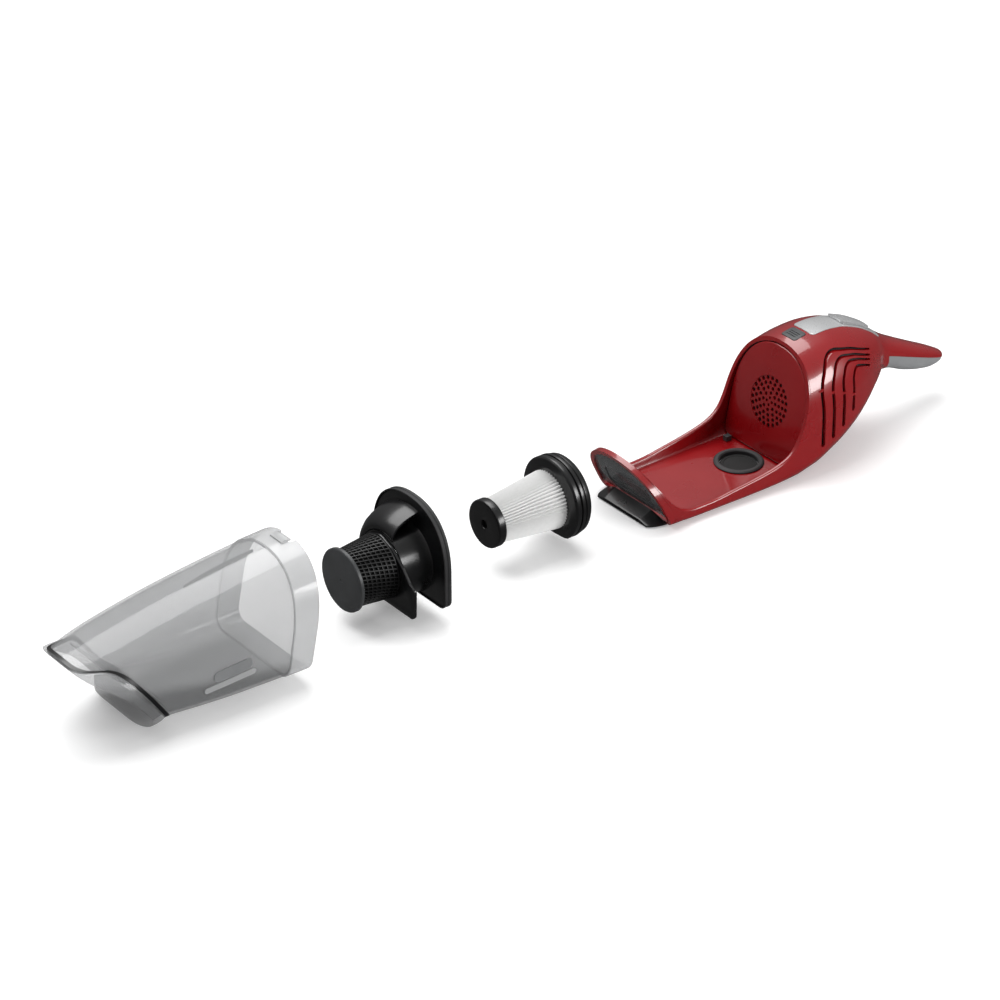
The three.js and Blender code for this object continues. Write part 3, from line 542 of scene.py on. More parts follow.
def rim_round(outer_end, inner_end, inner_before, open_rim):
    """Points from the outer edge to the inner edge, bulging upwards along the wall."""
    if not open_rim:
        parts = [k / (RIM_POINTS + 1) for k in range(1, RIM_POINTS + 1)]
        return [tuple(a + (b - a) * part for a, b in zip(outer_end, inner_end)) for part in parts]
    up = Vector(inner_end) - Vector(inner_before)
    up.normalize()
    middle = (Vector(outer_end) + Vector(inner_end)) / 2
    across = (Vector(outer_end) - Vector(inner_end)) / 2
    points = []
    for k in range(1, RIM_POINTS + 1):
        t = math.pi * k / (RIM_POINTS + 1)
        p = middle + across * math.cos(t) + up * (across.length * math.sin(t) * 0.85)
        points.append((max(p.x, 0.0), p.y))
    return points


def body_skin():
    stations = body_stations()
    rows = []
    for x, rim in stations:
        lean, outer, inner = station_points(x, rim)
        bridge = rim_round(outer[-1], inner[-1], inner[-3], rim is not None)
        rows.append(placed(x, lean, outer + bridge + list(reversed(inner))))
    count = len(rows[0])
    rim_start, rim_end = OUTER_POINTS - 1, OUTER_POINTS + RIM_POINTS
    verts = [p for row in rows for p in row]
    faces = []
    for r in range(len(rows) - 1):
        whole = stations[r][1] is None and stations[r + 1][1] is None
        for i in range(count - 1):
            if whole and rim_start <= i < rim_end:
                continue
            faces.append((r * count + i, r * count + i + 1, (r + 1) * count + i + 1, (r + 1) * count + i))
    for r in (0, len(rows) - 1):  # the section's own wall closes both ends
        for i in range(OUTER_POINTS - 1):
            a, b = r * count + i, r * count + count - 1 - i
            faces.append((a, a + 1, b - 1, b))
    mirror = len(verts)
    verts = verts + [(x, -y, z) for x, y, z in verts]
    faces = faces + [tuple(mirror + i for i in reversed(face)) for face in faces]
    return verts, faces


# nested elbow slots on each side: a centre line seen from the side (x, z, bend radius), and the bar's height
VENTS = [
    ([(186.0, 27.0), (185.0, 82.0, 30.0), (204.0, 107.5, 20.0), (232.0, 101.5, 60.0), (258.0, 91.0)], 78.5),
    ([(199.0, 31.0), (197.5, 80.0, 24.0), (211.0, 101.5, 16.0), (235.0, 96.0, 50.0), (256.0, 87.0)], 73.5),
    ([(212.3, 38.0), (211.0, 80.0, 18.0), (220.0, 95.8, 12.0), (238.0, 91.0, 40.0), (255.0, 83.5)], 68.5),
    ([(226.3, 48.0), (225.3, 79.0, 10.0), (230.5, 88.0, 9.0), (242.0, 84.0, 20.0), (253.5, 78.8)], 61.5),
]
VENT_FOOT_HALF = 2.3  # half width at the foot, narrowing to the other end
VENT_END_HALF = 0.85
BRIDGE_HEIGHT = 2.2


def bent_line(points):
    """Open line with its inner corners rounded to each point's own radius."""
    return [Vector(p) for p in rounded(points, 0.0, 8)]


def slot_outline(line):
    """Slot of changing width along a line, with round ends."""
    END_STEPS = 6
    left, right = [], []
    lengths = [0.0]
    for a, b in zip(line, line[1:]):
        lengths.append(lengths[-1] + (b - a).length)
    taper = (VENT_END_HALF - VENT_FOOT_HALF) / lengths[-1]
    halves = [VENT_FOOT_HALF + taper * length for length in lengths]
    for i, here in enumerate(line):
        along = (line[min(i + 1, len(line) - 1)] - line[max(i - 1, 0)]).normalized()
        across = Vector((-along.y, along.x)) * halves[i]
        left.append(here + across)
        right.append(here - across)
    caps = []
    for centre, start in ((line[-1], left[-1]), (line[0], right[0])):
        arm = start - centre
        turns = [-math.pi * k / END_STEPS for k in range(1, END_STEPS)]
        caps.append([centre + Matrix.Rotation(turn, 2) @ arm for turn in turns])
    return [tuple(p) for p in left + caps[0] + list(reversed(right)) + caps[1]]


def vent_cutters():
    cutters = []
    for side in (-1, 1):
        for line, _bridge in VENTS:
            outline = slot_outline(bent_line(line))
            cutters.append(scratch(*prism(outline, "y", side * 17, side * 70)))
    return cutters


def side_width(x, z):
    """Half width of the body's outer face at a real x and height."""
    station = x
    for _ in range(6):
        station = x - section_at(BODY_KEYS, station)["lean"] * (z - SECTION_Z)
    s = section_at(BODY_KEYS, station)
    outline = half_outline(*[s[key] for key in SECTION_KEYS[1:]])
    return max(y for (y, z0), (_, z1) in zip(outline, outline[1:]) if z0 <= z <= z1 + 1e-9 and y > 5)


def vent_bridges():
    """Small bars across the upright legs, just under the surface."""
    DEPTH = 2.0
    SUNK = 0.35
    for side, word in ((-1, "near"), (1, "far")):
        bars = []
        for line, bridge in VENTS:
            middle = bridge + BRIDGE_HEIGHT / 2
            x = line[0][0] + (line[1][0] - line[0][0]) * (middle - line[0][1]) / (line[1][1] - line[0][1])
            outer = side_width(x, middle) - SUNK
            y0, y1 = sorted((side * outer, side * (outer - DEPTH)))
            reach = VENT_FOOT_HALF + 0.5
            bars.append(block((x - reach, y0, bridge), (x + reach, y1, bridge + BRIDGE_HEIGHT)))
        add_piece(f"vent_bridges_{word}", *joined(bars), "red", "body", "red_gloss")


PANEL = {"start": 204.5, "end": 289.5, "half": 13.2}
BUTTON = {"start": 187.0, "end": 201.5, "half": 9.0}
SLOT = {"start": 251.5, "end": 269.0, "half": 5.0}
SLIDER = {"start": 243.5, "end": 277.5, "half": 10.5}
PORT_X = 134.0
PORT_HOLE = 20.4  # radius of the hole in the tray floor


def box_outline(area, grow, radius):
    x0, x1, h = area["start"] - grow, area["end"] + grow, area["half"] + grow
    return rounded([(x0, -h), (x1, -h), (x1, h), (x0, h)], radius + grow, 6)


def box_cutter(area, grow, radius, low):
    return scratch(*prism(box_outline(area, grow, radius), "z", low, 130))


def skin_solid(grow, x0, x1, count=60, points=90):
    """The body's outer shape between two stations as a closed solid, grown or shrunk."""
    return skin([full_ring(x, section_at(BODY_KEYS, x), -grow, points) for x in steps(x0, x1, count)])


def red_body():
    piece = add_piece(
        "red_moulding", *body_skin(), "red", "body", "red_gloss",
        nodes=("tray_moulding", "housing_near", "housing_far"), merge=0.02)
    opening = round_stack(PORT_X, 0.0, [(PORT_HOLE, -10.0), (PORT_HOLE, 12.0)], 64)
    carve(piece, vent_cutters() + [
        box_cutter(PANEL, 0.35, 4.0, 85), box_cutter(BUTTON, 0.35, 2.5, 100), scratch(*opening)])


def vent_shade_shell():
    """Black inner shell behind the vents: painted shade, standing in for the shade inside the body, so that
    the slots read as dark openings.
    """
    shell = skin_solid(-4.6, 176.0, 262.0, 24, 48)
    piece = add_piece("vent_shade_lining", *shell, "rubber", "body", "dark_plastic")
    carve(piece, [scratch(*skin_solid(-5.4, 170.0, 256.0, 24, 48))])


def top_parts():
    """Silver panel, power slider and release button, each cut out of the body's own outer shape."""
    panel = add_piece("top_panel_skin", *skin_solid(0.25, 180, 292), "silver", "body", "silver_plastic",
                      nodes=("top_panel",))
    carve(panel, [box_cutter(PANEL, 0.0, 4.0, 70)], "INTERSECT")
    carve(panel, [scratch(*skin_solid(-2.2, 172, 296)), box_cutter(SLOT, 0.0, 2.0, 80)])
    soften(panel, 0.45)
    pad = add_piece("slider_pad", *skin_solid(2.8, 215, 292), "silver", "slider", "silver_plastic",
                    nodes=("power_slider",))
    carve(pad, [box_cutter(SLIDER, 0.0, 3.0, 80)], "INTERSECT")
    carve(pad, [scratch(*skin_solid(0.5, 210, 296))])
    carve(pad, [scratch(*slanted(x, 1.0, 8.0, 2.1)) for x in (248.0, 251.5, 255.0)])
    soften(pad, 0.6)
    button = add_piece("button_cap", *skin_solid(0.5, 165, 212), "dark", "button", "dark_plastic",
                       nodes=("release_button",))
    carve(button, [box_cutter(BUTTON, 0.0, 2.5, 108.5)], "INTERSECT")
    carve(button, [scratch(*slanted(x, 1.0, 6.0, -0.3)) for x in (191.0, 193.6, 196.2)])
    soften(button, 0.4)


def slanted(x, width, half, above):
    """Shallow groove cutter across the top, whose floor lies a little above the body's surface."""
    rings = []
    for px in (x - width / 2, x + width / 2):
        low = crest(px) + above
        rings.append([(px, -half, low), (px, half, low), (px, half, low + 20), (px, -half, low + 20)])
    return skin(rings)


def crest(x):
    """Height of the body's top line at a real x."""
    station = x
    for _ in range(8):
        s = section_at(BODY_KEYS, station)
        station = x - s["lean"] * (s["top"] - SECTION_Z)
    return section_at(BODY_KEYS, station)["top"]


HANDLE_SPLIT = (299.0, 64.5, -0.389)  # x, z and slope of the line between red cover and grey grip


def handle_split_z(x):
    return HANDLE_SPLIT[1] + HANDLE_SPLIT[2] * (x - HANDLE_SPLIT[0])


def under_block(shift, far):
    """Everything below the handle's split line, as a wedge to cut with."""
    x0, x1 = 296.5, 400.0
    outline = [(x0, handle_split_z(x0) + shift), (x1, handle_split_z(x1) + shift), (x1, -50.0), (x0, -50.0)]
    return prism(outline, "y", -far, far)


def handle_parts():
    red = add_piece("handle_red", *skin_solid(0.0, SHELL_END, 380.0, 70), "red", "body", "red_gloss",
                    nodes=("handle_cover",))
    carve(red, [scratch(*under_block(0.15, 60.0))])
    grip = add_piece("handle_grey", *skin_solid(-0.5, 284.0, 380.0, 70), "grey", "body", "grey_plastic",
                     nodes=("handle_grip",))
    carve(grip, [scratch(*under_block(-0.15, 59.0))], "INTERSECT")
    soften(grip, 0.5)


# ---------------------------------------------------------------- bulkhead, grille, nozzle, port
BULKHEAD_X = 157.0
BULKHEAD_LEAN = 0.2
GRILLE_Z = 54.0
GRILLE_R = 23.7


def bulkhead_point(y, z, depth):
    """A point on the leaning bulkhead plane, moved back along its normal."""
    tilt = math.atan(BULKHEAD_LEAN)
    return (BULKHEAD_X + BULKHEAD_LEAN * z + depth * math.cos(tilt), y, z - depth * math.sin(tilt))


BULKHEAD = {"half": 49.2, "bottom": 4.6, "top": 107.0, "shoulder": 0.4, "corner": 8.0, "power": 2.25}


def bulkhead_outline(inset):
    s = BULKHEAD
    half, bottom, top = s["half"] - inset, s["bottom"] + inset, s["top"] - inset
    right = resample(half_outline(half, bottom, top, s["shoulder"], s["corner"], s["power"]), 90)
    return right + [(-y, z) for y, z in reversed(right[1:-1])]


def bulkhead():
    ROUND = 1.2
    rings = [[bulkhead_point(y, z, 4.0) for y, z in bulkhead_outline(0.0)]]
    for t in steps(0.0, math.pi / 2, 7):
        depth = ROUND - ROUND * math.sin(t)
        rings.append([bulkhead_point(y, z, depth) for y, z in bulkhead_outline(ROUND - ROUND * math.cos(t))])
    piece = add_piece("bulkhead_face", *skin(rings), "red", "body", "red_gloss", nodes=("bulkhead",))
    carve(piece, [scratch(*circle_prism(GRILLE_R + 0.25, 64, -6, 10))])
    # dark shadow gap between the face and the surrounding hood
    back = [[bulkhead_point(y * 1.06, (z - GRILLE_Z) * 1.05 + GRILLE_Z, depth)
             for y, z in bulkhead_outline(0.0)] for depth in (2.6, 3.6)]
    add_piece("bulkhead_gap", *skin(back), "rubber", "body", "rubber")


def circle_prism(radius, sides, low, high, y0=0.0, z0=0.0):
    """Round prism square to the bulkhead, between two depths."""
    tilt = math.atan(BULKHEAD_LEAN)
    rings = []
    for depth in (low, high):
        x, _, z = bulkhead_point(0.0, GRILLE_Z, depth)
        ups = [(radius * math.cos(a), z0 + radius * math.sin(a)) for a in circle(sides)]
        rings.append([(x + up * math.sin(tilt), y0 + y, z + up * math.cos(tilt)) for y, up in ups])
    return skin(rings)


# ring radius, number of holes, hole radius
GRILLE_RINGS = [(3.4, 4, 1.5), (8.0, 8, 1.8), (12.7, 13, 1.85), (17.3, 18, 1.9), (21.8, 23, 2.0)]


def grille():
    disc = add_piece("grille_disc", *circle_prism(GRILLE_R, 96, 0.3, 2.2), "red", "body", "red_gloss",
                     nodes=("grille",))
    holes = []
    for radius, count, size in GRILLE_RINGS:
        for i in range(count):
            a = 2 * math.pi * (i + 0.5 * (count % 2)) / count
            holes.append(circle_prism(size, 12, -2, 5, radius * math.cos(a), radius * math.sin(a)))
    carve(disc, [scratch(*joined(holes))])
    add_piece("grille_gauze", *circle_prism(GRILLE_R - 0.4, 64, 3.2, 3.6), "steel", "body", "steel")


PROW_LEAN = -0.50
PROW_THICK = 6.0
PANEL_X = 15.0


def nozzle():
    """Black duck-bill nozzle with its slot, and the dark panel that closes the front arch."""
    BEVEL = 17.0
    rings = []
    for t in steps(0.0, 1.0, 14):
        x = BLADE_TIP_X + 19.0 * t
        half = 41.0 + 2.0 * t
        high = 3.4 + 10.0 * t
        corners = [(half, 0.0), (half - BEVEL, high), (-half + BEVEL, high), (-half, 0.0)]
        rings.append([(x, y, z) for y, z in rounded(corners, 0.8, 4)])
    blade = add_piece("nozzle_bill", *skin(rings), "black", "body", "black_gloss", nodes=("nozzle_blade",))
    carve(blade, [
        scratch(*block((-10, -23, 1.0), (12, 23, 2.4))),
        scratch(*behind_prow(-PROW_THICK - 0.4)),
    ])
    soften(blade, 0.35)
    section = section_at(BODY_KEYS, PANEL_X)
    band = [full_ring(PANEL_X + d, section, 4.3, 72, floor=7.0) for d in (-1.6, -1.0, 0.9)]
    panel = add_piece("arch_panel", *skin(band), "panel", "body", "dark_plastic", nodes=("front_panel",))
    recess = rounded([(-31, 14), (31, 14), (29, 33), (-29, 33)], 4.0)
    rings = [placed(PANEL_X + d, PROW_LEAN, recess) for d in (-6.0, -0.4)]
    carve(panel, [scratch(*skin(rings))])
    soften(panel, 0.4)


def behind_prow(shift):
    """Large block behind the leaning plane of the front arch."""
    def line_x(z):
        return 18.0 + shift + PROW_LEAN * (z - SECTION_Z)
    outline = [(line_x(-20), -20.0), (line_x(100), 100.0), (200.0, 100.0), (200.0, -20.0)]
    return prism(outline, "y", -80, 80)


def port():
    """Rubber-lipped round port through the tray floor."""
    r0 = 17.5
    profile = rounded([
        (r0, 0.5), (r0 + 2.4, 0.5), (r0 + 2.4, 3.8), (r0 + 5.4, 3.8), (r0 + 5.4, 4.6), (r0 + 3.8, 5.8),
        (r0 + 1.2, 5.8), (r0, 4.6)], 0.7, 3)
    lip = skin([[(PORT_X + r * math.cos(a), r * math.sin(a), z) for r, z in profile]
                for a in circle(96)], "looped")
    add_piece("port_lip", *lip, "rubber", "body", "rubber", nodes=("port_ring",))


def port_plug():
    # painted shade: the disc that closes the port is near-black, for the shade deep in the port
    levels = [(16.8, 0.5), (17.2, 0.9), (17.2, 1.3), (16.8, 1.7), (14.2, 1.7), (13.8, 1.3)]
    add_piece("port_plug_disc", *round_stack(PORT_X, 0.0, levels, 96), "hollow", "body", "dark_plastic",
              nodes=("port_plug",))


def feet():
    levels = [(4.2, -1.0), (4.8, -0.6), (5.0, 0.2), (5.0, 1.4)]
    for side, word in ((-1, "near"), (1, "far")):
        pad = round_stack(164.0, side * 38.0, levels, 32)
        add_piece(f"foot_pad_{word}", *pad, "rubber", "body", "rubber", nodes=(f"foot_{word}",))


# ---------------------------------------------------------------- dust cup
COLLAR_KEYS = [
    (-397.0, 0.17, 53.6, 8.0, 105.0, 0.38, 12.0, 2.3),
    (-375.0, 0.20, 54.0, 8.0, 106.0, 0.38, 12.0, 2.3),
]
# share of the way from collar to mouth, then the section there
CUP_KEYS = [
    (0.00, 0.0, 53.6, 8.0, 105.0, 0.380, 12.0, 2.3),
    (0.20, 0.0, 53.0, 8.4, 101.2, 0.375, 12.0, 2.3),
    (0.45, 0.0, 51.8, 9.1, 95.3, 0.360, 11.0, 2.3),
    (0.72, 0.0, 49.7, 10.4, 86.2, 0.340, 10.0, 2.3),
    (0.90, 0.0, 48.0, 11.5, 79.2, 0.330, 9.5, 2.3),
    (1.00, 0.0, 47.0, 12.2, 75.5, 0.320, 9.0, 2.3),
]
# the mouth's edge seen from the side, as (z, x)
MOUTH_LINE = [
    (8.0, -503.0), (17.0, -509.0), (36.0, -521.5), (52.0, -533.0), (60.0, -539.5), (65.6, -547.0),
    (68.0, -554.0), (69.5, -563.0), (71.5, -571.0), (74.0, -576.0), (78.0, -579.0),
]
LIP = {"half": 46.0, "bottom": 7.5, "top": 77.5, "shoulder": 0.32, "corner": 9.0, "power": 2.3}
CUP_REAR_X = -397.3  # x of the cup's leaning rear edge at SECTION_Z
CUP_REAR_LEAN = 0.17
CUP_WALL = 2.2
FRAME_WALL = 3.2
CUP_POINTS = 110


def placed_ring(section, inset, place):
    """Arched ring, shrunk by the inset, whose x comes from its outer face."""
    s = {**section, "lean": 0.0}
    outer = full_ring(0.0, s, 0.0, CUP_POINTS)
    inner = full_ring(0.0, s, inset, CUP_POINTS)
    return [(place(o[1], o[2]), i[1], i[2]) for o, i in zip(outer, inner)]


def cup_ring(part, inset=0.0, shift=0.0):
    def place(_y, z):
        rear = CUP_REAR_X + CUP_REAR_LEAN * (z - SECTION_Z)
        return rear + (spline(MOUTH_LINE, z)[0] - rear) * part + shift
    return placed_ring(section_at(CUP_KEYS, part), inset, place)


def lip_x(y, z):
    return -530.0 - 0.75 * (z - SECTION_Z) + 14.0 * (abs(y) / LIP["half"]) ** 6


def cup_skin(inset):
    """Solid of the cup's outside, grown or shrunk, to cut raised marks with."""
    return skin([cup_ring(t, inset) for t in steps(0.02, 0.98, 40)])


def raised_mark(name, x, z, length, high, finish):
    """Pill-shaped pad raised from the near side of the cup, plain."""
    RISE = 0.5
    LEAN = -0.08
    reach, half, lift = length / 2, high / 2, LEAN * length / 2
    outline = rounded([
        (x - reach, z - half + lift), (x + reach, z - half - lift), (x + reach, z + half - lift),
        (x - reach, z + half + lift)], high * 0.48, 8)
    pad = add_piece(name, *prism(outline, "y", -60.0, -35.0), finish, "cup", "light_clear")
    carve(pad, [scratch(*cup_skin(-RISE))], "INTERSECT")
    carve(pad, [scratch(*cup_skin(0.1))])


def crown_rib():
    """Dark moulded rib under the crown of the cup's rear half."""
    CROWN_LENGTH = 158.0
    MIDDLE_Y = 6.0
    rings = []
    for part in steps(0.04, 0.46, 24):
        section = section_at(CUP_KEYS, part)
        top = section["top"] - CUP_WALL - 0.4
        x = CUP_REAR_X + CUP_REAR_LEAN * (top - SECTION_Z) - CROWN_LENGTH * part
        wide = 1.8 * math.sin(math.pi * (part - 0.02) / 0.46) + 0.3
        y0, y1 = MIDDLE_Y - wide, MIDDLE_Y + wide
        rings.append([(x, y1, top - 0.5), (x, y0, top - 0.5), (x, y0, top - 2.6), (x, y1, top - 2.6)])
    add_piece("crown_rib", *skin(rings), "dark", "cup", "rubber")


def frame_ring(t, inset=0.0):
    """Between the cup's mouth (t = 0) and the front lip (t = 1)."""
    mouth = cup_ring(1.0, inset, -2.3)
    lip = placed_ring(LIP, inset, lip_x)
    bulge = 1.2 * math.sin(math.pi * t) if inset == 0 else 0.0
    ring = []
    for m, p in zip(mouth, lip):
        y = m[1] + (p[1] - m[1]) * t
        z = m[2] + (p[2] - m[2]) * t
        ring.append((m[0] + (p[0] - m[0]) * t, y + math.copysign(bulge, y) * min(abs(y) / 20, 1), z))
    return ring


def wall_skin(outer, inner):
    """Closed shell from outer rings and inner rings, both listed from front to rear."""
    def middle(a, b, push):
        return [((p[0] + q[0]) / 2 + push, (p[1] + q[1]) / 2, (p[2] + q[2]) / 2) for p, q in zip(a, b)]
    toward = -1 if outer[0][0][0] < outer[-1][0][0] else 1
    front = middle(outer[0], inner[0], toward * 0.5)
    rear = middle(outer[-1], inner[-1], -toward * 0.5)
    return skin([front] + outer + [rear] + list(reversed(inner)), "looped")


def cup():
    parts = steps(0.0, 1.0, 60)
    add_piece("cup_body", *wall_skin(
        [cup_ring(t) for t in parts], [cup_ring(t, CUP_WALL) for t in parts]),
        "smoke", "cup", "smoke_clear", nodes=("cup_shell",))
    xs = steps(-375.6, -396.6, 14)
    collar = add_piece("cup_band", *wall_skin(
        [full_ring(x, section_at(COLLAR_KEYS, x), -0.8, CUP_POINTS) for x in xs],
        [full_ring(x, section_at(COLLAR_KEYS, x), 2.2, CUP_POINTS) for x in xs]),
        "clear", "cup", "light_clear", nodes=("cup_collar",))
    carve(collar, [scratch(*prism(rounded([
        (-363.0, -9.5), (-345.0, -12.0), (-345.0, 12.0), (-363.0, 9.5)], 2.0), "z", 96, 120))])
    tab = rounded([(-369.0, 105.2), (-359.5, 106.2), (-359.5, 107.4), (-362.5, 108.6), (-369.0, 107.6)], 0.6)
    add_piece("latch_tab", *prism(tab, "y", -8.0, 8.0), "clear", "cup", "light_clear")
    add_piece("mouth_gasket", *wall_skin(
        [cup_ring(1.0, -0.45, d) for d in (-2.9, -1.5, 0.0, 0.9)],
        [cup_ring(1.0, CUP_WALL + 0.7, d) for d in (-2.9, -1.5, 0.0, 0.9)]),
        "black", "cup", "rubber", nodes=("mouth_seal",))
    parts = steps(0.0, 1.0, 12)
    # painted shade: the lip takes the smoke material, so its lower part is painted darker too
    add_piece("mouth_lip", *wall_skin(
        [frame_ring(t) for t in parts], [frame_ring(t, FRAME_WALL) for t in parts]),
        "smoke", "cup", "light_clear", nodes=("mouth_frame",))
    crown_rib()
    raised_mark("label_pad", -449.0, 38.0, 36.0, 10.0, "grey")
    raised_mark("label_bar", -452.0, 29.0, 48.0, 5.0, "clear")


FLAP = {"top": 58.0, "low": 20.0, "half": 33.0}


def flap_x(z):
    return -494.0 - 1.05 * (z - SECTION_Z)


def flap():
    half, low, top = FLAP["half"], FLAP["low"], FLAP["top"]
    outline = rounded([(-half, low), (half, low), (half, top), (-half, top)], 5.0)
    rings = [[(flap_x(z) + d, y, z) for y, z in outline] for d in (0.0, 1.6)]
    plate = add_piece("flap_plate", *skin(rings), "grey", "flap", "grey_plastic", nodes=("inlet_flap",))
    soften(plate, 0.3)


# ---------------------------------------------------------------- pre-filter
CYCLONE_FRONT = -305.0
BAFFLE_X = -265.0
PLATE_X = -234.0


def prefilter_cap():
    x = CYCLONE_FRONT
    profile = [(x + 0.5, 0.0), (x + 0.5, 1.2), (x, 1.8), (x, 27.0), (x + 0.35, 27.9), (x + 1.2, 28.5),
               (x + 3.6, 28.5), (x + 4.0, 28.1), (x + 4.0, 25.2), (x + 2.6, 24.4), (x + 2.6, 0.0)]
    add_piece("prefilter_disc", *turned(profile, 128, closed=False), "dark", "cyclone", "dark_plastic",
              nodes=("cyclone_cap",))


def prefilter_screen():
    """Cone of many thin slanted ribs crossed by thin hoops, over a near-black sleeve of painted shade."""
    start, end = CYCLONE_FRONT + 4.3, BAFFLE_X - 0.3
    RIBS = 48
    TWIST = 0.30
    HOOPS = 9
    RIB_HALF = 0.030

    def radius(x):
        return 25.0 + 3.5 * (x - start) / (end - start)

    parts = []
    for i in range(HOOPS):
        x = start + 0.8 + (end - start - 1.6) * i / (HOOPS - 1)
        wide = 1.2 if i in (0, HOOPS - 1) else 0.55
        x0, x1, low, high = x - wide / 2, x + wide / 2, radius(x) - 1.6, radius(x)
        parts.append(turned([(x0, low), (x0, high), (x1, high), (x1, low)], 128))
    for angle in circle(RIBS):
        rings = []
        for x in steps(start + 0.6, end - 0.6, 8):
            a = angle + TWIST * (x - start) / (end - start)
            outer, inner = radius(x) + 0.3, radius(x) - 1.5
            corners = [
                (outer, -RIB_HALF * 0.5), (outer, RIB_HALF * 0.5), (inner, RIB_HALF), (inner, -RIB_HALF)]
            rings.append([(x, r * math.cos(a + d), AXIS_Z + r * math.sin(a + d)) for r, d in corners])
        parts.append(skin(rings))
    add_piece("prefilter_ribs", *joined(parts), "rib", "cyclone", "black_gloss", nodes=("cyclone_screen",),
              sharp=30.0)
    # painted shade: the near-black sleeve stands in for the shade inside the cone
    sleeve = turned([
        (start + 1, radius(start) - 2.6), (start + 1, radius(start) - 2.0), (end - 1, radius(end) - 2.0),
        (end - 1, radius(end) - 2.6)])
    add_piece("prefilter_shade_sleeve", *sleeve, "hollow", "cyclone", "rubber")


# half of the baffle's outline, as (y, z, corner radius)
BAFFLE_LINE = [
    (47.2, 11.2, 5.0), (48.0, 40.0, 4.0), (40.5, 44.0, 4.0), (31.0, 55.0, 10.0), (16.0, 67.5, 10.0),
    (0.0, 73.6, 12.0),
]
PLATE = {"half": 49.5, "bottom": 12.3, "top": 99.0, "shoulder": 0.38, "corner": 7.0, "power": 2.3}


def plate_ring(x, inset):
    return full_ring(x, {**PLATE, "lean": 0.0}, inset, 90)


def rounded_plate(x0, x1, edge):
    """Rear plate with its rim rounded, front and back."""
    rounds = [(edge * (1 - math.sin(t)), edge * (1 - math.cos(t))) for t in steps(0.0, math.pi / 2, 5)]
    rings = [plate_ring(x0 + d, inset) for d, inset in reversed(rounds)]
    rings += [plate_ring(x1 - d, inset) for d, inset in rounds]
    return skin(rings)


def bore(x, radius):
    """Cutter through a plate that starts at x."""
    return scratch(*skin([[(x + d, radius * math.cos(a), AXIS_Z + radius * math.sin(a))
                           for a in circle(96)] for d in (-5.0, 10.0)]))


def prefilter_plates():
    outline = rounded(BAFFLE_LINE + [(-y, z, r) for y, z, r in reversed(BAFFLE_LINE[:-1])], 4.0, 7)
    rings = [[(BAFFLE_X + d, y, z) for y, z in outline] for d in (0.0, 3.0)]
    baffle = add_piece("prefilter_baffle", *skin(rings), "black", "cyclone", "black_gloss",
                       nodes=("cyclone_baffle",))
    carve(baffle, [bore(BAFFLE_X, 26.5)])
    soften(baffle, 0.5)
    plate = add_piece("prefilter_plate", *rounded_plate(PLATE_X, PLATE_X + 4, 0.9), "black", "cyclone",
                      "black_gloss", nodes=("cyclone_plate",))
    carve(plate, [bore(PLATE_X, 28.5)])
    start, end = BAFFLE_X + 3.1, PLATE_X - 0.1
    outer = [
        (start, 30.5), (start + 6, 30.7), (start + 14, 31.3), (start + 22, 32.0), (end - 1.2, 32.7),
        (end, 33.2)]
    neck = add_piece("prefilter_neck", *turned(outer + [(end, 28.7), (start, 28.7)], 128), "black",
                     "cyclone", "black_gloss", nodes=("cyclone_neck",))
    carve(neck, [scratch(*block((start - 5, -40, 0), (end + 5, 40, PLATE["bottom"] + 0.5)))])
    prefilter_hood()


HOOD_LINE = [  # x and outer radius, from the front lip to the plate
    (-261.6, 31.2), (-261.9, 33.5), (-261.4, 35.2), (-260.0, 37.2), (-258.0, 39.4), (-254.0, 42.4),
    (-248.0, 45.2), (-242.0, 47.0), (-236.0, 48.3), (-234.2, 48.7),
]
HOOD_NEAR_END = -13.0
HOOD_LOW_END = 46.0


def prefilter_hood():
    """Domed hood over the top and the far side of the neck; its near end is open."""
    inside = [(x + (0.9 if x < -255 else 0.0), r - 2.0) for x, r in reversed(HOOD_LINE[1:])]
    hood = add_piece("prefilter_hood", *turned(HOOD_LINE + inside, 160), "black", "cyclone", "black_gloss",
                     nodes=("cyclone_hood",))
    keep = block((-280, HOOD_NEAR_END, HOOD_LOW_END), (-220, 70, 120))
    carve(hood, [scratch(*keep)], "INTERSECT")
    soften(hood, 0.35)


def seal():
    """Two soft ribs round the edge of the rear plate."""
    rings = []
    for x, grow in ((-1.0, 0.35), (-1.0, 1.2), (-0.6, 1.5), (0.5, 1.5), (1.0, 1.3), (1.3, 0.8), (2.7, 0.8),
                    (3.0, 1.3), (3.4, 1.5), (5.2, 1.5), (5.8, 1.2), (6.0, 0.8), (6.0, 0.35)):
        rings.append(plate_ring(PLATE_X + x, -grow))
    add_piece("prefilter_seal", *skin(rings, "looped"), "rubber", "cyclone", "rubber",
              nodes=("cyclone_seal",))


# ---------------------------------------------------------------- filter
FILTER_FRONT = -155.0
FILTER_RING = -85.0


def filter_cap():
    x = FILTER_FRONT
    profile = rounded([(x, 4.0), (x, 22.0, 1.6), (x + 8, 22.0, 0.8), (x + 8, 4.0)], 0.8)
    add_piece("filter_end", *turned(profile, 128), "black", "filter", "black_gloss", nodes=("filter_cap",))
    plug = turned([(x + 4.0, 0.0), (x + 4.0, 4.4), (x + 6.0, 4.4), (x + 6.0, 0.0)], 48, closed=False)
    add_piece("filter_plug", *plug, "rubber", "filter", "rubber")


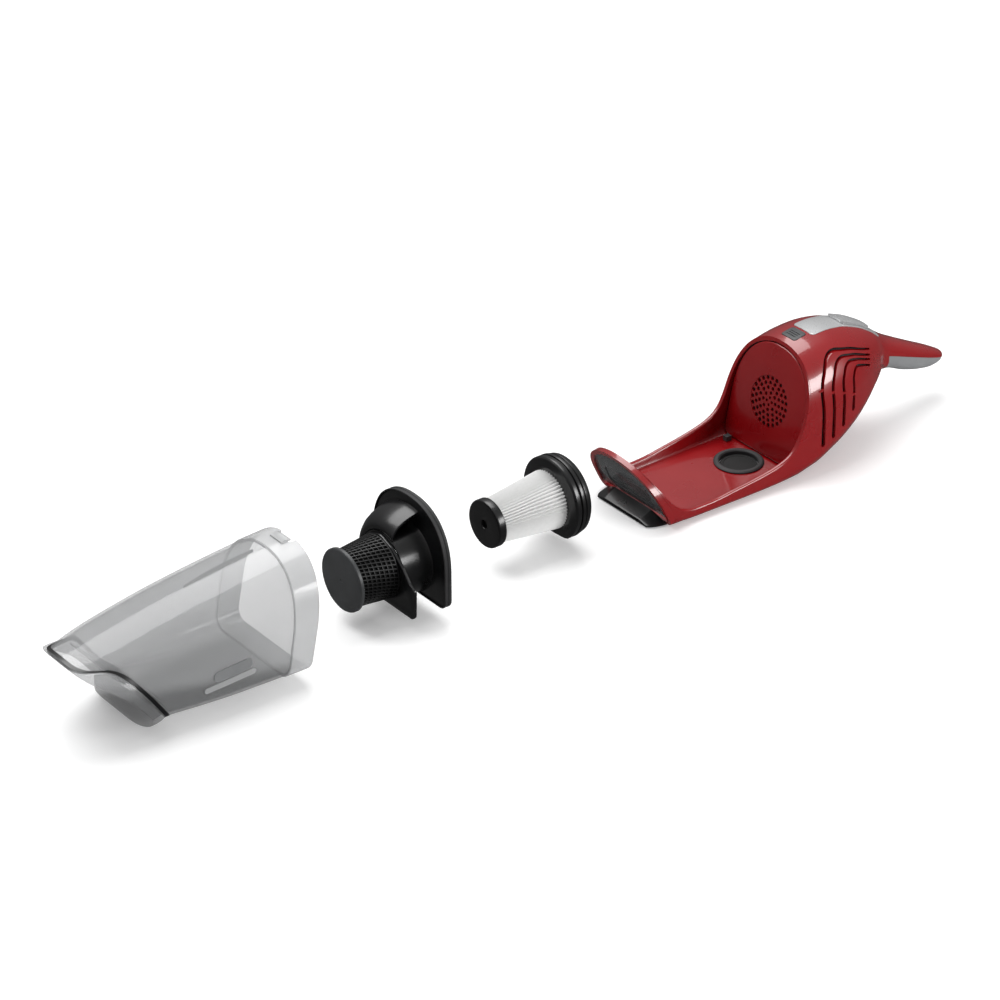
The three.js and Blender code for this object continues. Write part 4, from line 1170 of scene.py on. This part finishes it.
def pleats():
    """Paper folded into a cone; each fold is rounded, and the folds differ a little."""
    FOLDS = 52
    PER_FOLD = 8
    DEPTH = 2.5
    start, end = FILTER_FRONT + 8.1, FILTER_RING + 0.6
    rings = []
    for x in steps(start, end, 26):
        part = (x - start) / (end - start)
        ring = []
        for i in range(FOLDS * PER_FOLD):
            fold = i / PER_FOLD
            wave = abs(2 * (fold - math.floor(fold + 0.5)))
            wobble = 0.012 * math.sin(7.0 * math.floor(fold) + 5.0 * part) * math.sin(math.pi * part)
            r = 20.0 + 7.0 * part - DEPTH * (1 - wave**0.8) * 0.9
            a = 2 * math.pi * fold / FOLDS + wobble
            ring.append((x, r * math.cos(a), AXIS_Z + r * math.sin(a)))
        rings.append(ring)
    add_piece("filter_paper", *skin(rings), "paper", "filter", "filter_paper", nodes=("filter_pleats",),
              sharp=60.0)


RING_FLAT = 30.0


def filter_ring():
    x = FILTER_RING
    profile = rounded([
        (x, 22.0), (x, 30.0), (x + 1.5, 36.5), (x + 3.0, 38.0), (x + 7.0, 38.0, 0.5), (x + 7.0, 36.2, 0.2),
        (x + 8.6, 36.2, 0.2), (x + 8.6, 38.0, 0.5), (x + 12.0, 38.0, 0.5), (x + 12.0, 36.2, 0.2),
        (x + 13.4, 36.2, 0.2), (x + 13.4, 37.4, 0.5), (x + 18.0, 36.5), (x + 20.0, 34.5), (x + 20.0, 22.0)],
        0.9, 4)
    ring = add_piece("filter_rim", *turned(profile, 160), "black", "filter", "black_gloss",
                     nodes=("filter_ring",))
    low = AXIS_Z - RING_FLAT
    carve(ring, [scratch(*block((x - 5, -60, -20), (x + 30, 60, low)))])
    gx = x + 20.2
    profile = rounded([(gx, 24.0), (gx, 29.0), (gx + 2.4, 28.2), (gx + 2.4, 24.8)], 0.6)
    add_piece("filter_seal", *turned(profile), "rubber", "filter", "rubber", nodes=("filter_gasket",))


# ---------------------------------------------------------------- camera, light and floor
CAMERA_AZIMUTH = -37.9
CAMERA_ELEVATION = 30.2
CAMERA_LENS = 134.7
CAMERA_DISTANCE = 3292.0
CAMERA_TARGET = (-82.6, 70.8, 8.7)
FLOOR_GAP = -0.0002  # metres: the floor lies just below the faces that rest on it


def camera():
    a, e = math.radians(CAMERA_AZIMUTH), math.radians(CAMERA_ELEVATION)
    back = Vector((math.sin(a) * math.cos(e), -math.cos(a) * math.cos(e), math.sin(e)))
    data = bpy.data.cameras.new("camera")
    data.lens = CAMERA_LENS
    data.sensor_width = 36.0
    data.clip_end = 20.0
    eye = bpy.data.objects.new("camera", data)
    bpy.context.scene.collection.objects.link(eye)
    eye.location = at(*CAMERA_TARGET) + back * CAMERA_DISTANCE * MM
    eye.rotation_mode = "QUATERNION"
    eye.rotation_quaternion = (-back).to_track_quat("-Z", "Y")
    bpy.context.scene.camera = eye


def area_light(name, place, aim, size, power):
    data = bpy.data.lights.new(name, "AREA")
    data.shape = "RECTANGLE"
    data.size, data.size_y = size
    data.energy = power
    lamp = bpy.data.objects.new(name, data)
    bpy.context.scene.collection.objects.link(lamp)
    lamp.location = place
    lamp.rotation_mode = "QUATERNION"
    lamp.rotation_quaternion = (Vector(aim) - Vector(place)).to_track_quat("-Z", "Y")


def studio():
    scene = bpy.context.scene
    scene.view_settings.view_transform = "Standard"
    world = bpy.data.worlds.new("studio")
    world.use_nodes = True
    nodes, links = world.node_tree.nodes, world.node_tree.links
    coords = nodes.new("ShaderNodeTexCoord")
    split = nodes.new("ShaderNodeSeparateXYZ")
    fade = nodes.new("ShaderNodeMapRange")
    fade.inputs["From Min"].default_value = -0.1
    fade.inputs["From Max"].default_value = 0.9
    fade.inputs["To Min"].default_value = 0.22
    fade.inputs["To Max"].default_value = 1.0
    links.new(coords.outputs["Generated"], split.inputs["Vector"])
    links.new(split.outputs["Z"], fade.inputs["Value"])
    links.new(fade.outputs["Result"], nodes["Background"].inputs["Color"])
    nodes["Background"].inputs["Strength"].default_value = 0.46
    scene.world = world
    area_light("top_soft", (0.0, 0.9, 2.1), (0.0, 0.0, 0.0), (2.6, 1.8), 66)
    area_light("side_soft", (1.1, -1.7, 0.8), (0.1, 0.0, 0.05), (0.9, 0.7), 24)
    size = 8.0
    corners = [(-size, -size, 0), (size, -size, 0), (size, size, 0), (-size, size, 0)]
    mesh = bpy.data.meshes.new("floor")
    mesh.from_pydata(corners, [], [(0, 1, 2, 3)])
    floor = bpy.data.objects.new("floor", mesh)
    scene.collection.objects.link(floor)
    floor.location.z = FLOOR_GAP
    floor.visible_glossy = False
    mesh.materials.append(textured(
        "white_floor", (0.86, 0.86, 0.86), (0.88, 0.88, 0.88), 0.30, scale=2.0, rough_spread=0.02, bump=0.0,
        Emission_Color=(1, 1, 1, 1), Emission_Strength=0.22))


def build():
    camera()
    studio()
    finish_cad_nodes()
    red_body()
    vent_bridges()
    vent_shade_shell()
    top_parts()
    handle_parts()
    bulkhead()
    grille()
    nozzle()
    port()
    port_plug()
    feet()
    cup()
    flap()
    prefilter_cap()
    prefilter_screen()
    prefilter_plates()
    seal()
    filter_cap()
    pleats()
    filter_ring()


build()
